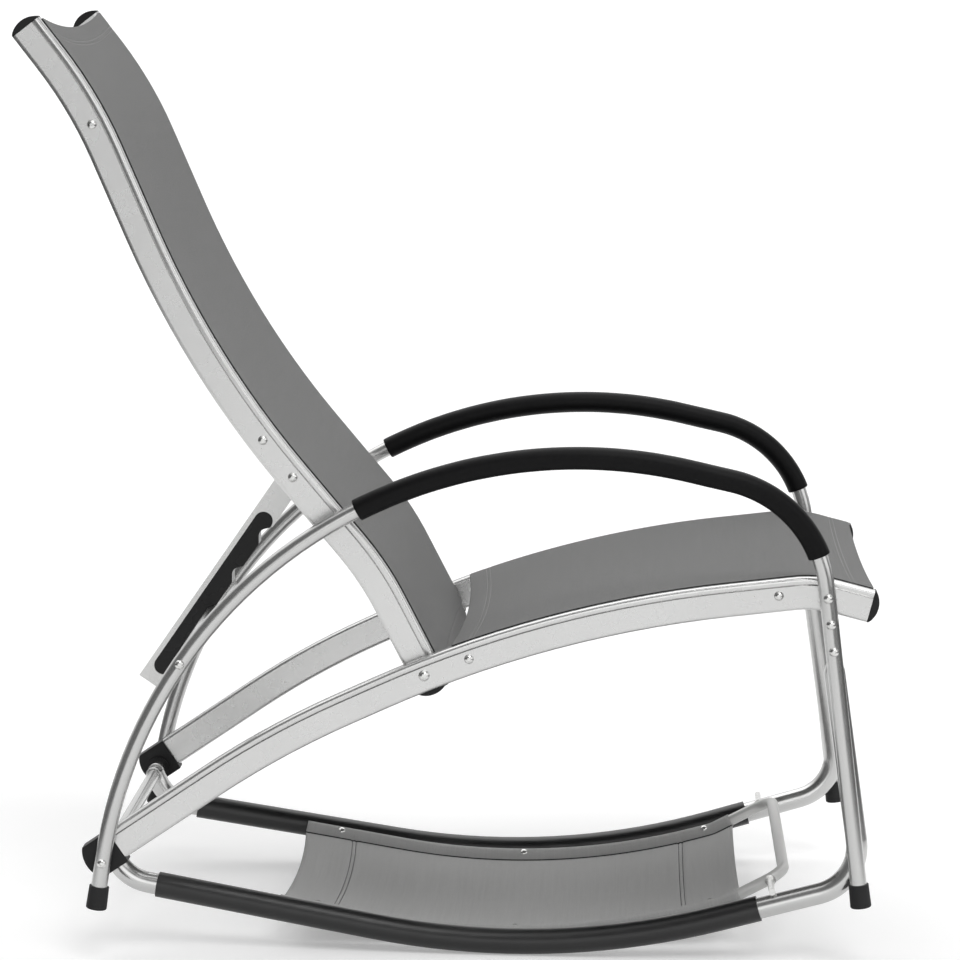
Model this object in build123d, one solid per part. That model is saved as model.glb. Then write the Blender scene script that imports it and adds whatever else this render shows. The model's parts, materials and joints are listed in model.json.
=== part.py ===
from build123d import *
import os
from math import asin, atan2, cos, degrees, hypot, radians, sin, tan

# A rocking lounge chair: curved aluminium seat and backrest rails with textile slings, bent steel
# arm tubes, two sleeved runners, a toothed strut behind the backrest and a loose footrest.
# Millimetres. +X is the front, +Y the sitter's left, +Z up. Side outlines are given as (x, z) points
# above the floor. Right-hand pieces are modelled first and mirrored for the left.

# ---- clearances ----
FIT_GAP = 0.2  # between pieces that are pushed together
RUN_GAP = 0.05  # round a shaft that turns in its bore
SOFT_GAP = 0.3  # between textile and what it passes
REST_GAP = 0.3  # under a piece that only lies on another

# ---- tubes and rails ----
ARM_TUBE_D = 19.0
ARM_TUBE_WALL = 1.5
ARM_TUBE_Y = 288.0  # centre plane of each arm tube
RAIL_WIDTH = 20.0
RAIL_DEPTH = 38.0
RAIL_WALL = 2.0
RAIL_CORNER = 4.5
RUNNER_D = 25.0
RUNNER_WALL = 2.0
CROSSBAR_D = 19.0
REAR_CROSSBAR_D = 16.0
LOCKING_BAR_D = 18.0
CROSSBAR_WALL = 1.5
INSERT_LENGTH = 26.0
HINGE_WASHER_T = 2.0
HINGE_WASHER_D = 26.0

# ---- keder slot in the rails ----
KEDER_BORE_D = 7.0
KEDER_SLIT = 2.4
KEDER_INBOARD = 1.0  # bore centre, inboard of the rail's middle
KEDER_LEVEL = 13.0  # bore centre, from the rail's middle towards the sitter
KEDER_ROD_D = 4.5
SLING_T = 1.0
HEM_T = 0.8  # wall of the sewn loop round the keder rod
FLAT_TO_LEVEL = 9.4  # the outer face is flat up to this level, where the keder channel's bead begins
BEAD_DEPTH = 1.8  # groove between the flat face and the bead

# ---- seat rail outline and what sits along it ----
SEAT_CORNERS = [(-412.7, 135.0), (-228.7, 258.9), (87.9, 403.0), (396.2, 437.7), (459.4, 421.1)]
SEAT_RADII = [1057.0, 1342.0, 129.0]
HINGE_ALONG = 413.0  # from the rail's rear end
REAR_SEAT_CROSSBAR_ALONG = 468.5
FRONT_SEAT_CROSSBAR_ALONG = 833.5
SEAT_SLING_REAR_ALONG = 454.0
SEAT_SLING_FRONT_MARGIN = 2.0

# ---- backrest rail outline, from the hinge ----
BACK_CORNERS = [(0.0, 0.0), (-59.9, 116.4), (-260.0, 356.5), (-389.2, 657.7), (-454.7, 743.1)]
BACK_RADII = [360.0, 1129.0, 496.0]
BACK_TAIL = 19.0  # rail below the hinge
STRUT_PIVOT_ALONG = 275.0  # from the hinge
MIDDLE_CROSSBAR_ALONG = 330.0
TOP_CROSSBAR_ALONG = 742.0
BACK_SLING_BOTTOM_ALONG = -8.0
BACK_SLING_TOP_MARGIN = 3.0

# ---- rail end caps ----
CAP_RIM = 1.5
CAP_DOME = 7.5
CAP_PLUG = 14.0
PIVOT_CAP_PLUG_PAST_HINGE = 16.0

# ---- arm tubes ----
ARM_CORNERS = [(451.8, 71.0), (396.4, 544.8), (-338.8, 712.5), (-436.3, 61.1)]
ARM_RADII = [141.0, 559.0]
GRIP_D = 26.5
GRIP_FRONT_ALONG = 413.0
GRIP_REAR_ALONG = 993.0
ARM_SEAT_BOLT_ALONG = 364.5
ARM_RUNNER_BOLTS_ALONG = [302.5, 334.0]
LOCKING_BAR_FROM_REAR = 311.0
REAR_CROSSBAR_FROM_REAR = 56.0
FOOT_CAP_HEIGHT = 27.0
FOOT_CAP_BASE = 4.0
FOOT_CAP_TOP_D = 23.2
FOOT_CAP_BOTTOM_D = 24.6
FOOT_CAP_EDGE = 2.0

# ---- elbow blocks, in the rail's direction from the rear crossbar ----
ELBOW_WIDTH = 25.0
ELBOW_DROP = 5.0
ELBOW_BACK = 21.0
ELBOW_BACK_CORNER = 13.5
ELBOW_EDGE = 1.5
ELBOW_BOSS_D = 27.0
ELBOW_BOSS_H = 4.0
ELBOW_SOCKET = 12.0

# ---- runners ----
SLEEVE_D = 30.0
ROCKER_RADIUS = 939.0  # underside of the sleeves
ROCKER_LOW_X = 42.4
ROCKER_REAR_SLOPE = 9.9
ROCKER_FRONT_SLOPE = 15.5
SLEEVE_REAR_X = -372.6
SLEEVE_FRONT_X = 335.0
RUNNER_REAR_BEND_X = -412.0
RUNNER_REAR_BEND_R = 52.0
RUNNER_FRONT_BEND_X = 454.1
RUNNER_FRONT_BEND_R = 58.0
RUNNER_TOP = (419.0, 343.0)
RUNNER_TOE = 3.4  # degrees each runner turns in towards the rear
TAB_T = 4.0
TAB_W = 17.0
TAB_NECK_BELOW_BOLT = 14.0
TAB_EDGE = 1.9
TAB_ROUND_SHORT = 0.01  # keeps four short flats, so that both ends of the loft have eight edges

# ---- strut and its rack, along the strut from its pivot ----
STRUT_Y = 80.0
STRUT_LENGTH = 366.0
STRUT_DEPTH = 31.5
STRUT_WIDTH = 32.0
STRUT_SHEET = 2.0
STRUT_EAR_R = 11.5
STRUT_SHOULDER = 6.0
STRUT_SIDE_CLEAR = 0.3
PIVOT_ROD_D = 12.0
BUSH_D = 17.0
CLIP_D = 20.0
CLIP_T = 5.0
BAR_OFFSET = 15.6  # locking bar's centre, off the strut's middle line
NOTCH_CLEAR = 0.3
BAR_ABOVE_RACK = 2.0  # bar's centre, outside the rack's edge
NOTCH_PITCH = 59.0
NOTCH_COUNT = 3
RAMP_ANGLE = 42.5  # of each notch's pivot-side flank
NOTCH_BACK_ANGLE = 34.6  # of each notch's far flank
WINDOW_START = 105.0
WINDOW_END = 350.0
WINDOW_BACK = 9.5
RACK_OVERLAP = 8.0
END_TOOTH_HEIGHT = 27.0
END_TOOTH_CREST = 14.0
END_TOOTH_RUN = 12.0

# ---- footrest ----
FOOT_TUBE_D = 14.0
FOOT_TUBE_WALL = 1.5
FOOT_LEG_Y = 200.0
FOOT_LOW_Z = 16.0
FOOT_CURVE_R = 870.0
FOOT_REAR_X = -230.0
FOOT_KNEE_PAST_CURVE = 16.1  # from the end of the long curve to the knee
FOOT_KNEE_R = 50.0
FOOT_CORNER_R = 25.0
FOOT_FRONT_PAST_KNEE = 75.0
FOOT_SLING_PAST_KNEE = 22.5
FOOT_LEG_INSET = 3.0  # tube's rear end, inside the textile
FOOT_PLUG_LENGTH = 14.0
FOOT_PLUG_HEAD = 2.5
PEG_PAST_KNEE = 59.0
PEG_D = 8.0
PEG_COLLAR_D = 13.0
PEG_COLLAR_T = 3.0
PEG_OVERHANG = 9.0
FOOT_RIVET_XS = [-186.0, 47.0, 278.0]
FOOT_RIVET_LEAN = 55.0  # degrees from upright, towards the other leg
FOOT_RIVET_HEAD_D = 9.0
FOOT_RIVET_HEAD_H = 1.6
FOOT_RIVET_D = 4.0
FOOT_RIVET_PAST_WALL = 2.0

# ---- fasteners ----
BOLT_D = 6.0
BOLT_HEAD_D = 11.0
BOLT_HEAD_H = 3.4
BOLT_HEX = 4.0
BOLT_HEX_DEPTH = 2.0
HINGE_BOLT_D = 8.0
HINGE_HEAD_D = 13.0
HINGE_HEAD_H = 4.0
HINGE_HEX = 5.0
NUT_HEX = 10.0
NUT_T = 5.0
HINGE_NUT_HEX = 13.0
HINGE_NUT_T = 7.0
BOLT_TAIL = 1.5
BOLT_ENGAGE = 16.0
RIVET_NUT_D = 9.0
RIVET_NUT_LENGTH = 9.0
FACE_GAP = 0.1  # between faces that are clamped together
INSERT_FLOOR = 3.0  # solid end behind a threaded hole
CUT_PAST = 1.0  # how far a cutting tool runs past what it cuts

# ---- sideways places worked out from the sizes above ----
SEAT_RAIL_Y = ARM_TUBE_Y - ARM_TUBE_D / 2 - FIT_GAP - RAIL_WIDTH / 2
BACK_RAIL_Y = SEAT_RAIL_Y - RAIL_WIDTH - HINGE_WASHER_T - 2 * FACE_GAP
SEAT_RAIL_OUT = SEAT_RAIL_Y + RAIL_WIDTH / 2
SEAT_RAIL_IN = SEAT_RAIL_Y - RAIL_WIDTH / 2
BACK_RAIL_OUT = BACK_RAIL_Y + RAIL_WIDTH / 2
BACK_RAIL_IN = BACK_RAIL_Y - RAIL_WIDTH / 2
ARM_OUT = ARM_TUBE_Y + ARM_TUBE_D / 2
ARM_IN = ARM_TUBE_Y - ARM_TUBE_D / 2
ELBOW_IN = SEAT_RAIL_OUT - ELBOW_WIDTH
RUNNER_Y = ARM_IN - RUNNER_D / 2 - 2 * FIT_GAP  # at the runner's front bend


# ---- helpers ----
def side_path(corners, radii, y=0.0):
    """A path of straight runs and tangent arcs in the side view, at the given y."""
    return Wire(FilletPolyline(*[(x, y, z) for x, z in corners], radius=radii).edges())


def part_of(path, start, end):
    """The stretch of a path between two lengths along it."""
    return path.trim(start / path.length, end / path.length)


def spot(path, along):
    """The (x, z) point at a length along a path."""
    point = path.position_at(along / path.length)
    return point.X, point.Z


def across(path, y=0.0):
    """The plane across a path's start: local x runs to +Y, local y to the left of travel."""
    start = path.position_at(0)
    return Plane(origin=(start.X, y, start.Z), x_dir=(0, 1, 0), z_dir=path.tangent_at(0))


def swept(section, path, y=0.0):
    """A section swept along a side-view path, both moved to the given y."""
    moved = path.moved(Location((0, y, 0)))
    return sweep(across(path, y) * section, path=moved)


def ring(outer, wall):
    """A tube's section."""
    return Circle(outer / 2) - Circle(outer / 2 - wall)


def rod(x, z, y_from, y_to, diameter):
    """A round bar along Y."""
    middle = (y_from + y_to) / 2
    return Pos(x, middle, z) * Rot(90, 0, 0) * Cylinder(diameter / 2, abs(y_to - y_from))


def hex_rod(x, z, y_from, y_to, flats):
    """A hexagonal bar along Y, sized across its flats."""
    outline = RegularPolygon(flats / 2, 6, major_radius=False)
    bar = extrude(outline, abs(y_to - y_from) / 2, both=True)
    return Pos(x, (y_from + y_to) / 2, z) * Rot(90, 0, 0) * bar


def mirrored(shape):
    """The left-hand copy of a right-hand piece."""
    return mirror(shape, about=Plane.XZ)


def both_sides(shape):
    """A right-hand piece with its left-hand copy."""
    return group([shape, mirrored(shape)])


def group(shapes):
    """Separate solids kept together in one node."""
    return Compound([solid for shape in shapes for solid in shape.solids()])


def button_bolt(x, z, head_y, length, sizes=(BOLT_D, BOLT_HEAD_D, BOLT_HEAD_H, BOLT_HEX)):
    """A right-hand bolt: domed head outside the face at -head_y, shank running inwards."""
    d, head_d, head_h, hex_size = sizes
    y = -head_y
    dome_r = (head_d**2 / 4 + head_h**2) / (2 * head_h)
    dome = Pos(x, y - head_h + dome_r, z) * Sphere(dome_r)
    head = rod(x, z, y - head_h, y, head_d) & dome
    head -= hex_rod(x, z, y - head_h - CUT_PAST, y - head_h + BOLT_HEX_DEPTH, hex_size)
    return head + rod(x, z, y, y + length, d)


def hole(x, z, y_from, y_to, diameter):
    """A tool that clears a round hole along Y on the right-hand side."""
    return rod(x, z, -y_from, -y_to, diameter)


# ---- outlines ----
seat_path = side_path(SEAT_CORNERS, SEAT_RADII)
hinge = spot(seat_path, HINGE_ALONG)
back_points = [(hinge[0] + x, hinge[1] + z) for x, z in BACK_CORNERS]
tail_heading = atan2(BACK_CORNERS[1][1], BACK_CORNERS[1][0])
back_points[0] = (hinge[0] - BACK_TAIL * cos(tail_heading), hinge[1] - BACK_TAIL * sin(tail_heading))
back_path = side_path(back_points, BACK_RADII)
arm_path = side_path(ARM_CORNERS, ARM_RADII)

strut_pivot = spot(back_path, BACK_TAIL + STRUT_PIVOT_ALONG)
middle_crossbar = spot(back_path, BACK_TAIL + MIDDLE_CROSSBAR_ALONG)
top_crossbar = spot(back_path, BACK_TAIL + TOP_CROSSBAR_ALONG)
rear_seat_crossbar = spot(seat_path, REAR_SEAT_CROSSBAR_ALONG)
front_seat_crossbar = spot(seat_path, FRONT_SEAT_CROSSBAR_ALONG)
arm_seat_bolt = spot(arm_path, ARM_SEAT_BOLT_ALONG)
arm_runner_bolts = [spot(arm_path, along) for along in ARM_RUNNER_BOLTS_ALONG]
locking_bar_at = spot(arm_path, arm_path.length - LOCKING_BAR_FROM_REAR)
rear_crossbar_at = spot(arm_path, arm_path.length - REAR_CROSSBAR_FROM_REAR)


# ---- rails ----
def rail_section(sitter_side):
    """A rail's hollow section; sitter_side is 1 or -1 along local y, local x points inboard."""
    level = sitter_side * KEDER_LEVEL
    bore_edge = KEDER_LEVEL - KEDER_BORE_D / 2
    cavity_top = bore_edge - RAIL_WALL
    cavity_bottom = -RAIL_DEPTH / 2 + RAIL_WALL
    section = RectangleRounded(RAIL_WIDTH, RAIL_DEPTH, RAIL_CORNER)
    section -= Pos(KEDER_INBOARD, level) * Circle(KEDER_BORE_D / 2)
    slit_depth = RAIL_DEPTH / 2 - KEDER_LEVEL + CUT_PAST
    slit_middle = sitter_side * (KEDER_LEVEL + slit_depth / 2)
    section -= Pos(KEDER_INBOARD, slit_middle) * Rectangle(KEDER_SLIT, slit_depth)
    bead_top = RAIL_DEPTH / 2 - RAIL_CORNER
    bead_run = bead_top - FLAT_TO_LEVEL
    bead_radius = (bead_run**2 + BEAD_DEPTH**2) / (2 * BEAD_DEPTH)
    groove = Pos(-RAIL_WIDTH / 2, sitter_side * (bead_top - bead_run / 2)) * Rectangle(2 * BEAD_DEPTH, bead_run)
    section -= groove - Pos(bead_radius - RAIL_WIDTH / 2, sitter_side * bead_top) * Circle(bead_radius)
    middle = sitter_side * (cavity_top + cavity_bottom) / 2
    section -= Pos(0, middle) * cavity_outline(0)
    return section


def cavity_outline(inset):
    """The rail's main hollow, drawn in by an inset."""
    cavity_top = KEDER_LEVEL - KEDER_BORE_D / 2 - RAIL_WALL
    height = cavity_top + RAIL_DEPTH / 2 - RAIL_WALL
    width = RAIL_WIDTH - 2 * RAIL_WALL
    corner = RAIL_CORNER - RAIL_WALL
    return RectangleRounded(width - 2 * inset, height - 2 * inset, corner - inset)


def cavity_middle(sitter_side):
    """The hollow's middle, along the section's local y."""
    cavity_top = KEDER_LEVEL - KEDER_BORE_D / 2 - RAIL_WALL
    return sitter_side * (cavity_top - RAIL_DEPTH / 2 + RAIL_WALL) / 2


def end_plug(length, sitter_side, root=0.0):
    """The part of a cap or elbow that goes into a rail, along local -z, with its root outside."""
    outline = Pos(0, cavity_middle(sitter_side), root) * cavity_outline(FIT_GAP)
    return extrude(outline, -length - root)


def end_cap(plug, sitter_side):
    """A domed cap: its rim meets the rail's end at local z 0."""
    height = CAP_RIM + CAP_DOME
    dome_r = (RAIL_DEPTH**2 / 4 + CAP_DOME**2) / (2 * CAP_DOME)
    dome = Pos(0, 0, height - dome_r) * Rot(0, 90, 0) * Cylinder(dome_r, 2 * RAIL_WIDTH)
    cap = extrude(RectangleRounded(RAIL_WIDTH, RAIL_DEPTH, RAIL_CORNER), height) & dome
    return cap + end_plug(plug, sitter_side)


def outward_plane(path, at_end, y):
    """The plane across a path's end, with local z pointing out of the rail."""
    place = 1.0 if at_end else 0.0
    point = path.position_at(place)
    along = path.tangent_at(place)
    return Plane(origin=(point.X, y, point.Z), x_dir=(0, 1, 0), z_dir=along if at_end else -along)


def make_seat_rail():
    rail = swept(rail_section(1), seat_path, -SEAT_RAIL_Y)
    rail -= hole(*hinge, SEAT_RAIL_IN - CUT_PAST, SEAT_RAIL_OUT + CUT_PAST, HINGE_BOLT_D + 2 * FIT_GAP)
    for place in (rear_seat_crossbar, front_seat_crossbar):
        rail -= hole(*place, SEAT_RAIL_IN - CUT_PAST, SEAT_RAIL_OUT + CUT_PAST, BOLT_D + 2 * FIT_GAP)
    rail -= hole(*arm_seat_bolt, SEAT_RAIL_Y, SEAT_RAIL_OUT + CUT_PAST, RIVET_NUT_D)
    return rail


def make_back_rail():
    rail = swept(rail_section(-1), back_path, -BACK_RAIL_Y)
    rail -= hole(*hinge, BACK_RAIL_IN - CUT_PAST, BACK_RAIL_OUT + CUT_PAST, HINGE_BOLT_D + 2 * FIT_GAP)
    for place in (strut_pivot, middle_crossbar, top_crossbar):
        rail -= hole(*place, BACK_RAIL_IN - CUT_PAST, BACK_RAIL_OUT + CUT_PAST, BOLT_D + 2 * FIT_GAP)
    return rail


def make_seat_rail_cap():
    return outward_plane(seat_path, True, -SEAT_RAIL_Y) * end_cap(CAP_PLUG, 1)


def make_top_cap():
    return outward_plane(back_path, True, -BACK_RAIL_Y) * end_cap(CAP_PLUG, -1)


def make_pivot_cap():
    """The lower cap, whose long plug is also the hinge bolt's bush."""
    cap = outward_plane(back_path, False, -BACK_RAIL_Y) * end_cap(BACK_TAIL + PIVOT_CAP_PLUG_PAST_HINGE, 1)
    return cap - hole(*hinge, BACK_RAIL_IN - CUT_PAST, BACK_RAIL_OUT + CUT_PAST, HINGE_BOLT_D + 2 * RUN_GAP)


# ---- slings ----
def sling_section(half_width, sitter_side):
    """A sheet over the rails, turned down into their slits, with a sewn loop along each edge."""
    level = sitter_side * KEDER_LEVEL
    loop_bore = KEDER_ROD_D / 2 + RUN_GAP
    sheet_top = RAIL_DEPTH / 2 + SOFT_GAP + SLING_T
    section = Pos(0, sitter_side * (sheet_top - SLING_T / 2)) * Rectangle(2 * half_width + SLING_T, SLING_T)
    turn_down = sheet_top - KEDER_LEVEL
    for side in (-1, 1):
        section += Pos(side * half_width, level + sitter_side * turn_down / 2) * Rectangle(SLING_T, turn_down)
        section += Pos(side * half_width, level) * Circle(loop_bore + HEM_T)
    for side in (-1, 1):
        section -= Pos(side * half_width, level) * Circle(loop_bore)
    return section


def make_sling(path, rail_y, sitter_side):
    return swept(sling_section(rail_y - KEDER_INBOARD, sitter_side), path)


def make_keder_rods(path, rail_y, sitter_side):
    section = Pos(KEDER_INBOARD, sitter_side * KEDER_LEVEL) * Circle(KEDER_ROD_D / 2)
    return both_sides(swept(section, path, -rail_y))


# ---- cross tubes ----
def tube_across(place, half_length, diameter, wall):
    tube = rod(*place, -half_length, half_length, diameter)
    return tube - rod(*place, -half_length - CUT_PAST, half_length + CUT_PAST, diameter - 2 * wall)


def tube_insert(place, half_length, diameter, wall):
    """A right-hand threaded plug inside a cross tube's end."""
    plug = rod(*place, -half_length, -half_length + INSERT_LENGTH, diameter - 2 * wall - 2 * RUN_GAP)
    bore_end = half_length - INSERT_LENGTH + INSERT_FLOOR
    return plug - hole(*place, half_length + CUT_PAST, bore_end, BOLT_D + 2 * RUN_GAP)


# ---- arm tubes ----
def tube_end(corner, next_corner, distance):
    """A point at a distance from one corner towards the next."""
    run = hypot(next_corner[0] - corner[0], next_corner[1] - corner[1])
    share = distance / run
    x = corner[0] + (next_corner[0] - corner[0]) * share
    z = corner[1] + (next_corner[1] - corner[1]) * share
    return x, z


def make_arm_tube():
    ends = [tube_end(ARM_CORNERS[0], ARM_CORNERS[1], FOOT_CAP_BASE)]
    ends.append(tube_end(ARM_CORNERS[-1], ARM_CORNERS[-2], FOOT_CAP_BASE))
    path = side_path([ends[0], *ARM_CORNERS[1:-1], ends[1]], ARM_RADII)
    tube = swept(ring(ARM_TUBE_D, ARM_TUBE_WALL), path, -ARM_TUBE_Y)
    for place in (arm_seat_bolt, *arm_runner_bolts, locking_bar_at, rear_crossbar_at):
        tube -= hole(*place, ARM_IN - CUT_PAST, ARM_OUT + CUT_PAST, BOLT_D + 2 * FIT_GAP)
    return tube


def make_grip():
    path = part_of(arm_path, GRIP_FRONT_ALONG, GRIP_REAR_ALONG)
    wall = (GRIP_D - ARM_TUBE_D) / 2 - RUN_GAP
    return swept(ring(GRIP_D, wall), path, -ARM_TUBE_Y)


def make_foot_cap(at_end):
    """A rubber cap over a tube's end; local z points down and out of the tube."""
    outer = Pos(0, 0, -FOOT_CAP_HEIGHT / 2) * Cone(FOOT_CAP_TOP_D / 2, FOOT_CAP_BOTTOM_D / 2, FOOT_CAP_HEIGHT)
    outer = fillet(outer.edges().group_by(Axis.Z)[-1], FOOT_CAP_EDGE)
    bore_depth = FOOT_CAP_HEIGHT - FOOT_CAP_BASE + FACE_GAP
    bore = Pos(0, 0, -FOOT_CAP_BASE - bore_depth / 2) * Cylinder(ARM_TUBE_D / 2 + RUN_GAP, bore_depth)
    return outward_plane(arm_path, at_end, -ARM_TUBE_Y) * (outer - bore)


# ---- elbows ----
def make_elbow():
    """A block that joins the seat rail's rear end, the rear crossbar and the arm tube."""
    end = seat_path.position_at(0)
    along = seat_path.tangent_at(0)
    x_off = end.X - rear_crossbar_at[0]
    z_off = end.Z - rear_crossbar_at[1]
    mouth = x_off * along.X + z_off * along.Z - FACE_GAP
    level = z_off * along.X - x_off * along.Z
    top = level + RAIL_DEPTH / 2
    bottom = level - RAIL_DEPTH / 2 - ELBOW_DROP
    origin = (rear_crossbar_at[0], -SEAT_RAIL_OUT, rear_crossbar_at[1])
    plane = Plane(origin=origin, x_dir=along, z_dir=(0, -1, 0))
    back = ThreePointArc((-ELBOW_BACK_CORNER, bottom), (-ELBOW_BACK, level / 2), (-ELBOW_BACK_CORNER, top))
    front = Polyline((-ELBOW_BACK_CORNER, top), (mouth, top), (mouth, bottom), (-ELBOW_BACK_CORNER, bottom))
    block = extrude(plane * make_face(Curve() + back + front), -ELBOW_WIDTH)
    block = fillet(block.edges(), ELBOW_EDGE)
    boss_in = ELBOW_IN - ELBOW_BOSS_H
    block += hole(*rear_crossbar_at, boss_in, ELBOW_IN + CUT_PAST, ELBOW_BOSS_D)
    block += outward_plane(seat_path, False, -SEAT_RAIL_Y) * end_plug(CAP_PLUG, -1, 2 * FIT_GAP)
    socket_end = boss_in + ELBOW_SOCKET + FACE_GAP
    block -= hole(*rear_crossbar_at, boss_in - CUT_PAST, socket_end, REAR_CROSSBAR_D + 2 * RUN_GAP)
    return block - hole(*rear_crossbar_at, boss_in, SEAT_RAIL_OUT + CUT_PAST, BOLT_D + 2 * FIT_GAP)


rear_crossbar_half = ELBOW_IN - ELBOW_BOSS_H + ELBOW_SOCKET
seat_crossbar_half = SEAT_RAIL_IN - FACE_GAP
back_crossbar_half = BACK_RAIL_IN - FACE_GAP
locking_bar_half = ARM_IN - FACE_GAP


# ---- runners, drawn in their own upright plane and then toed in ----
def rocker_line(radius, rear_x, front_x, low_z):
    """Ends and corner of the straight, arc, straight line at a radius from the rocker's centre."""
    rear = radians(ROCKER_REAR_SLOPE)
    front = radians(ROCKER_FRONT_SLOPE)
    reach = radius * tan((rear + front) / 2)
    rear_touch = (ROCKER_LOW_X - radius * sin(rear), low_z + radius * (1 - cos(rear)))
    corner = (rear_touch[0] + reach * cos(rear), rear_touch[1] - reach * sin(rear))
    rear_end = (rear_x, corner[1] + (corner[0] - rear_x) * tan(rear))
    front_end = (front_x, corner[1] + (front_x - corner[0]) * tan(front))
    return rear_end, corner, front_end


sleeve_radius = ROCKER_RADIUS - SLEEVE_D / 2
rear_bend, rocker_corner, sleeve_front = rocker_line(
    sleeve_radius, RUNNER_REAR_BEND_X, SLEEVE_FRONT_X, SLEEVE_D / 2)
sleeve_rear = rocker_line(sleeve_radius, SLEEVE_REAR_X, SLEEVE_FRONT_X, SLEEVE_D / 2)[0]
front_bend = rocker_line(sleeve_radius, SLEEVE_REAR_X, RUNNER_FRONT_BEND_X, SLEEVE_D / 2)[2]


def in_runner_plane(points):
    """Side-view points measured along the toed-in plane, from the front bend."""
    stretch = 1 / cos(radians(RUNNER_TOE))
    return [((x - front_bend[0]) * stretch, z) for x, z in points]


def toed_in(shape):
    """Turn a shape about the upright line through the front bend and move it to the right side."""
    return Pos(front_bend[0], -RUNNER_Y, 0) * Rot(0, 0, -RUNNER_TOE) * shape


def runner_y_at(x):
    """How far a runner's middle is from the chair's middle at a place along its length."""
    return RUNNER_Y - (front_bend[0] - x) * tan(radians(RUNNER_TOE))


def make_runner_tube():
    corners = [rear_crossbar_at, rear_bend, rocker_corner, front_bend, RUNNER_TOP]
    radii = [RUNNER_REAR_BEND_R, sleeve_radius, RUNNER_FRONT_BEND_R]
    path = side_path(in_runner_plane(corners), radii)
    tube = toed_in(swept(ring(RUNNER_D, RUNNER_WALL), path))
    rear_y = runner_y_at(rear_crossbar_at[0])
    cope_d = REAR_CROSSBAR_D + 2 * RUN_GAP
    cope = hole(*rear_crossbar_at, rear_y - 2 * RUNNER_D, rear_y + 2 * RUNNER_D, cope_d)
    return tube - cope + make_tab(path)


def make_tab(path):
    """The runner's flattened top, which lies against the arm tube's inner side."""
    low, high = arm_runner_bolts
    tab_y = -(ARM_IN - FIT_GAP - TAB_T / 2)
    lean = Vector(high[0] - low[0], 0, high[1] - low[1]).normalized()
    neck = Vector(low[0], tab_y, low[1]) - lean * TAB_NECK_BELOW_BOLT
    neck_plane = Plane(origin=neck, x_dir=(0, 1, 0), z_dir=lean)
    top = path.position_at(1)
    tube_plane = Plane(origin=(top.X, 0, top.Z), x_dir=(0, 1, 0), z_dir=path.tangent_at(1))
    round_end = toed_in(tube_plane * RectangleRounded(RUNNER_D, RUNNER_D, RUNNER_D / 2 - TAB_ROUND_SHORT))
    flat_end = neck_plane * RectangleRounded(TAB_T, TAB_W, TAB_EDGE)
    shoulder = loft([round_end.face(), flat_end.face()])
    length = (Vector(high[0], 0, high[1]) - Vector(neck.X, 0, neck.Z)).length
    blade = extrude(neck_plane * Rectangle(TAB_T, TAB_W), length)
    tab = shoulder + blade + rod(*high, tab_y - TAB_T / 2, tab_y + TAB_T / 2, TAB_W)
    for place in (low, high):
        tab -= rod(*place, tab_y - TAB_T, tab_y + TAB_T, BOLT_D + 2 * FIT_GAP)
    return tab


def make_sleeve():
    path = side_path(in_runner_plane([sleeve_rear, rocker_corner, sleeve_front]), [sleeve_radius])
    wall = (SLEEVE_D - RUNNER_D) / 2 - RUN_GAP
    return toed_in(swept(ring(SLEEVE_D, wall), path))


# ---- strut, drawn with local x down the strut and local y towards the locking bar ----
bar_distance = hypot(locking_bar_at[0] - strut_pivot[0], locking_bar_at[1] - strut_pivot[1])
bar_along = (bar_distance**2 - BAR_OFFSET**2) ** 0.5
bar_heading = atan2(locking_bar_at[1] - strut_pivot[1], locking_bar_at[0] - strut_pivot[0])
strut_heading = bar_heading - asin(BAR_OFFSET / bar_distance)
rack_edge = BAR_OFFSET - BAR_ABOVE_RACK


def strut_plane(y):
    """The strut's drawing plane, with local z towards -Y."""
    return Plane(
        origin=(strut_pivot[0], y, strut_pivot[1]),
        x_dir=(cos(strut_heading), 0, sin(strut_heading)),
        z_dir=(0, -1, 0))


def strut_slab(outline, half_width):
    """An outline in the strut's plane made as thick as twice half_width."""
    return extrude(strut_plane(STRUT_Y) * outline, half_width, both=True)


def window_outline(grow):
    """The opening in the strut's walls that the rack fills."""
    width = rack_edge + WINDOW_BACK
    middle = (rack_edge - WINDOW_BACK) / 2
    length = WINDOW_END - WINDOW_START
    return Pos((WINDOW_START + WINDOW_END) / 2, middle) * SlotOverall(length + 2 * grow, width + 2 * grow)


def make_strut_channel():
    half = STRUT_DEPTH / 2
    body_length = STRUT_LENGTH - STRUT_SHOULDER
    body = Pos(STRUT_SHOULDER + body_length / 2, 0) * Rectangle(body_length, STRUT_DEPTH)
    outline = body + Circle(STRUT_EAR_R)
    channel = strut_slab(outline, STRUT_WIDTH / 2)
    inner_length = STRUT_LENGTH - STRUT_SHEET + STRUT_EAR_R + CUT_PAST
    inner_end = STRUT_LENGTH - STRUT_SHEET
    inner = Pos(inner_end - inner_length / 2, STRUT_SHEET) * Rectangle(inner_length, STRUT_DEPTH)
    channel -= strut_slab(inner, STRUT_WIDTH / 2 - STRUT_SHEET)
    window = window_outline(0)
    lip_length = WINDOW_END - WINDOW_START - rack_edge - WINDOW_BACK
    lip = Pos((WINDOW_START + WINDOW_END) / 2, half) * Rectangle(lip_length, STRUT_DEPTH / 2)
    channel -= strut_slab(window + lip, STRUT_WIDTH)
    return channel - strut_slab(Circle(BUSH_D / 2 + FIT_GAP), STRUT_WIDTH)


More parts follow.
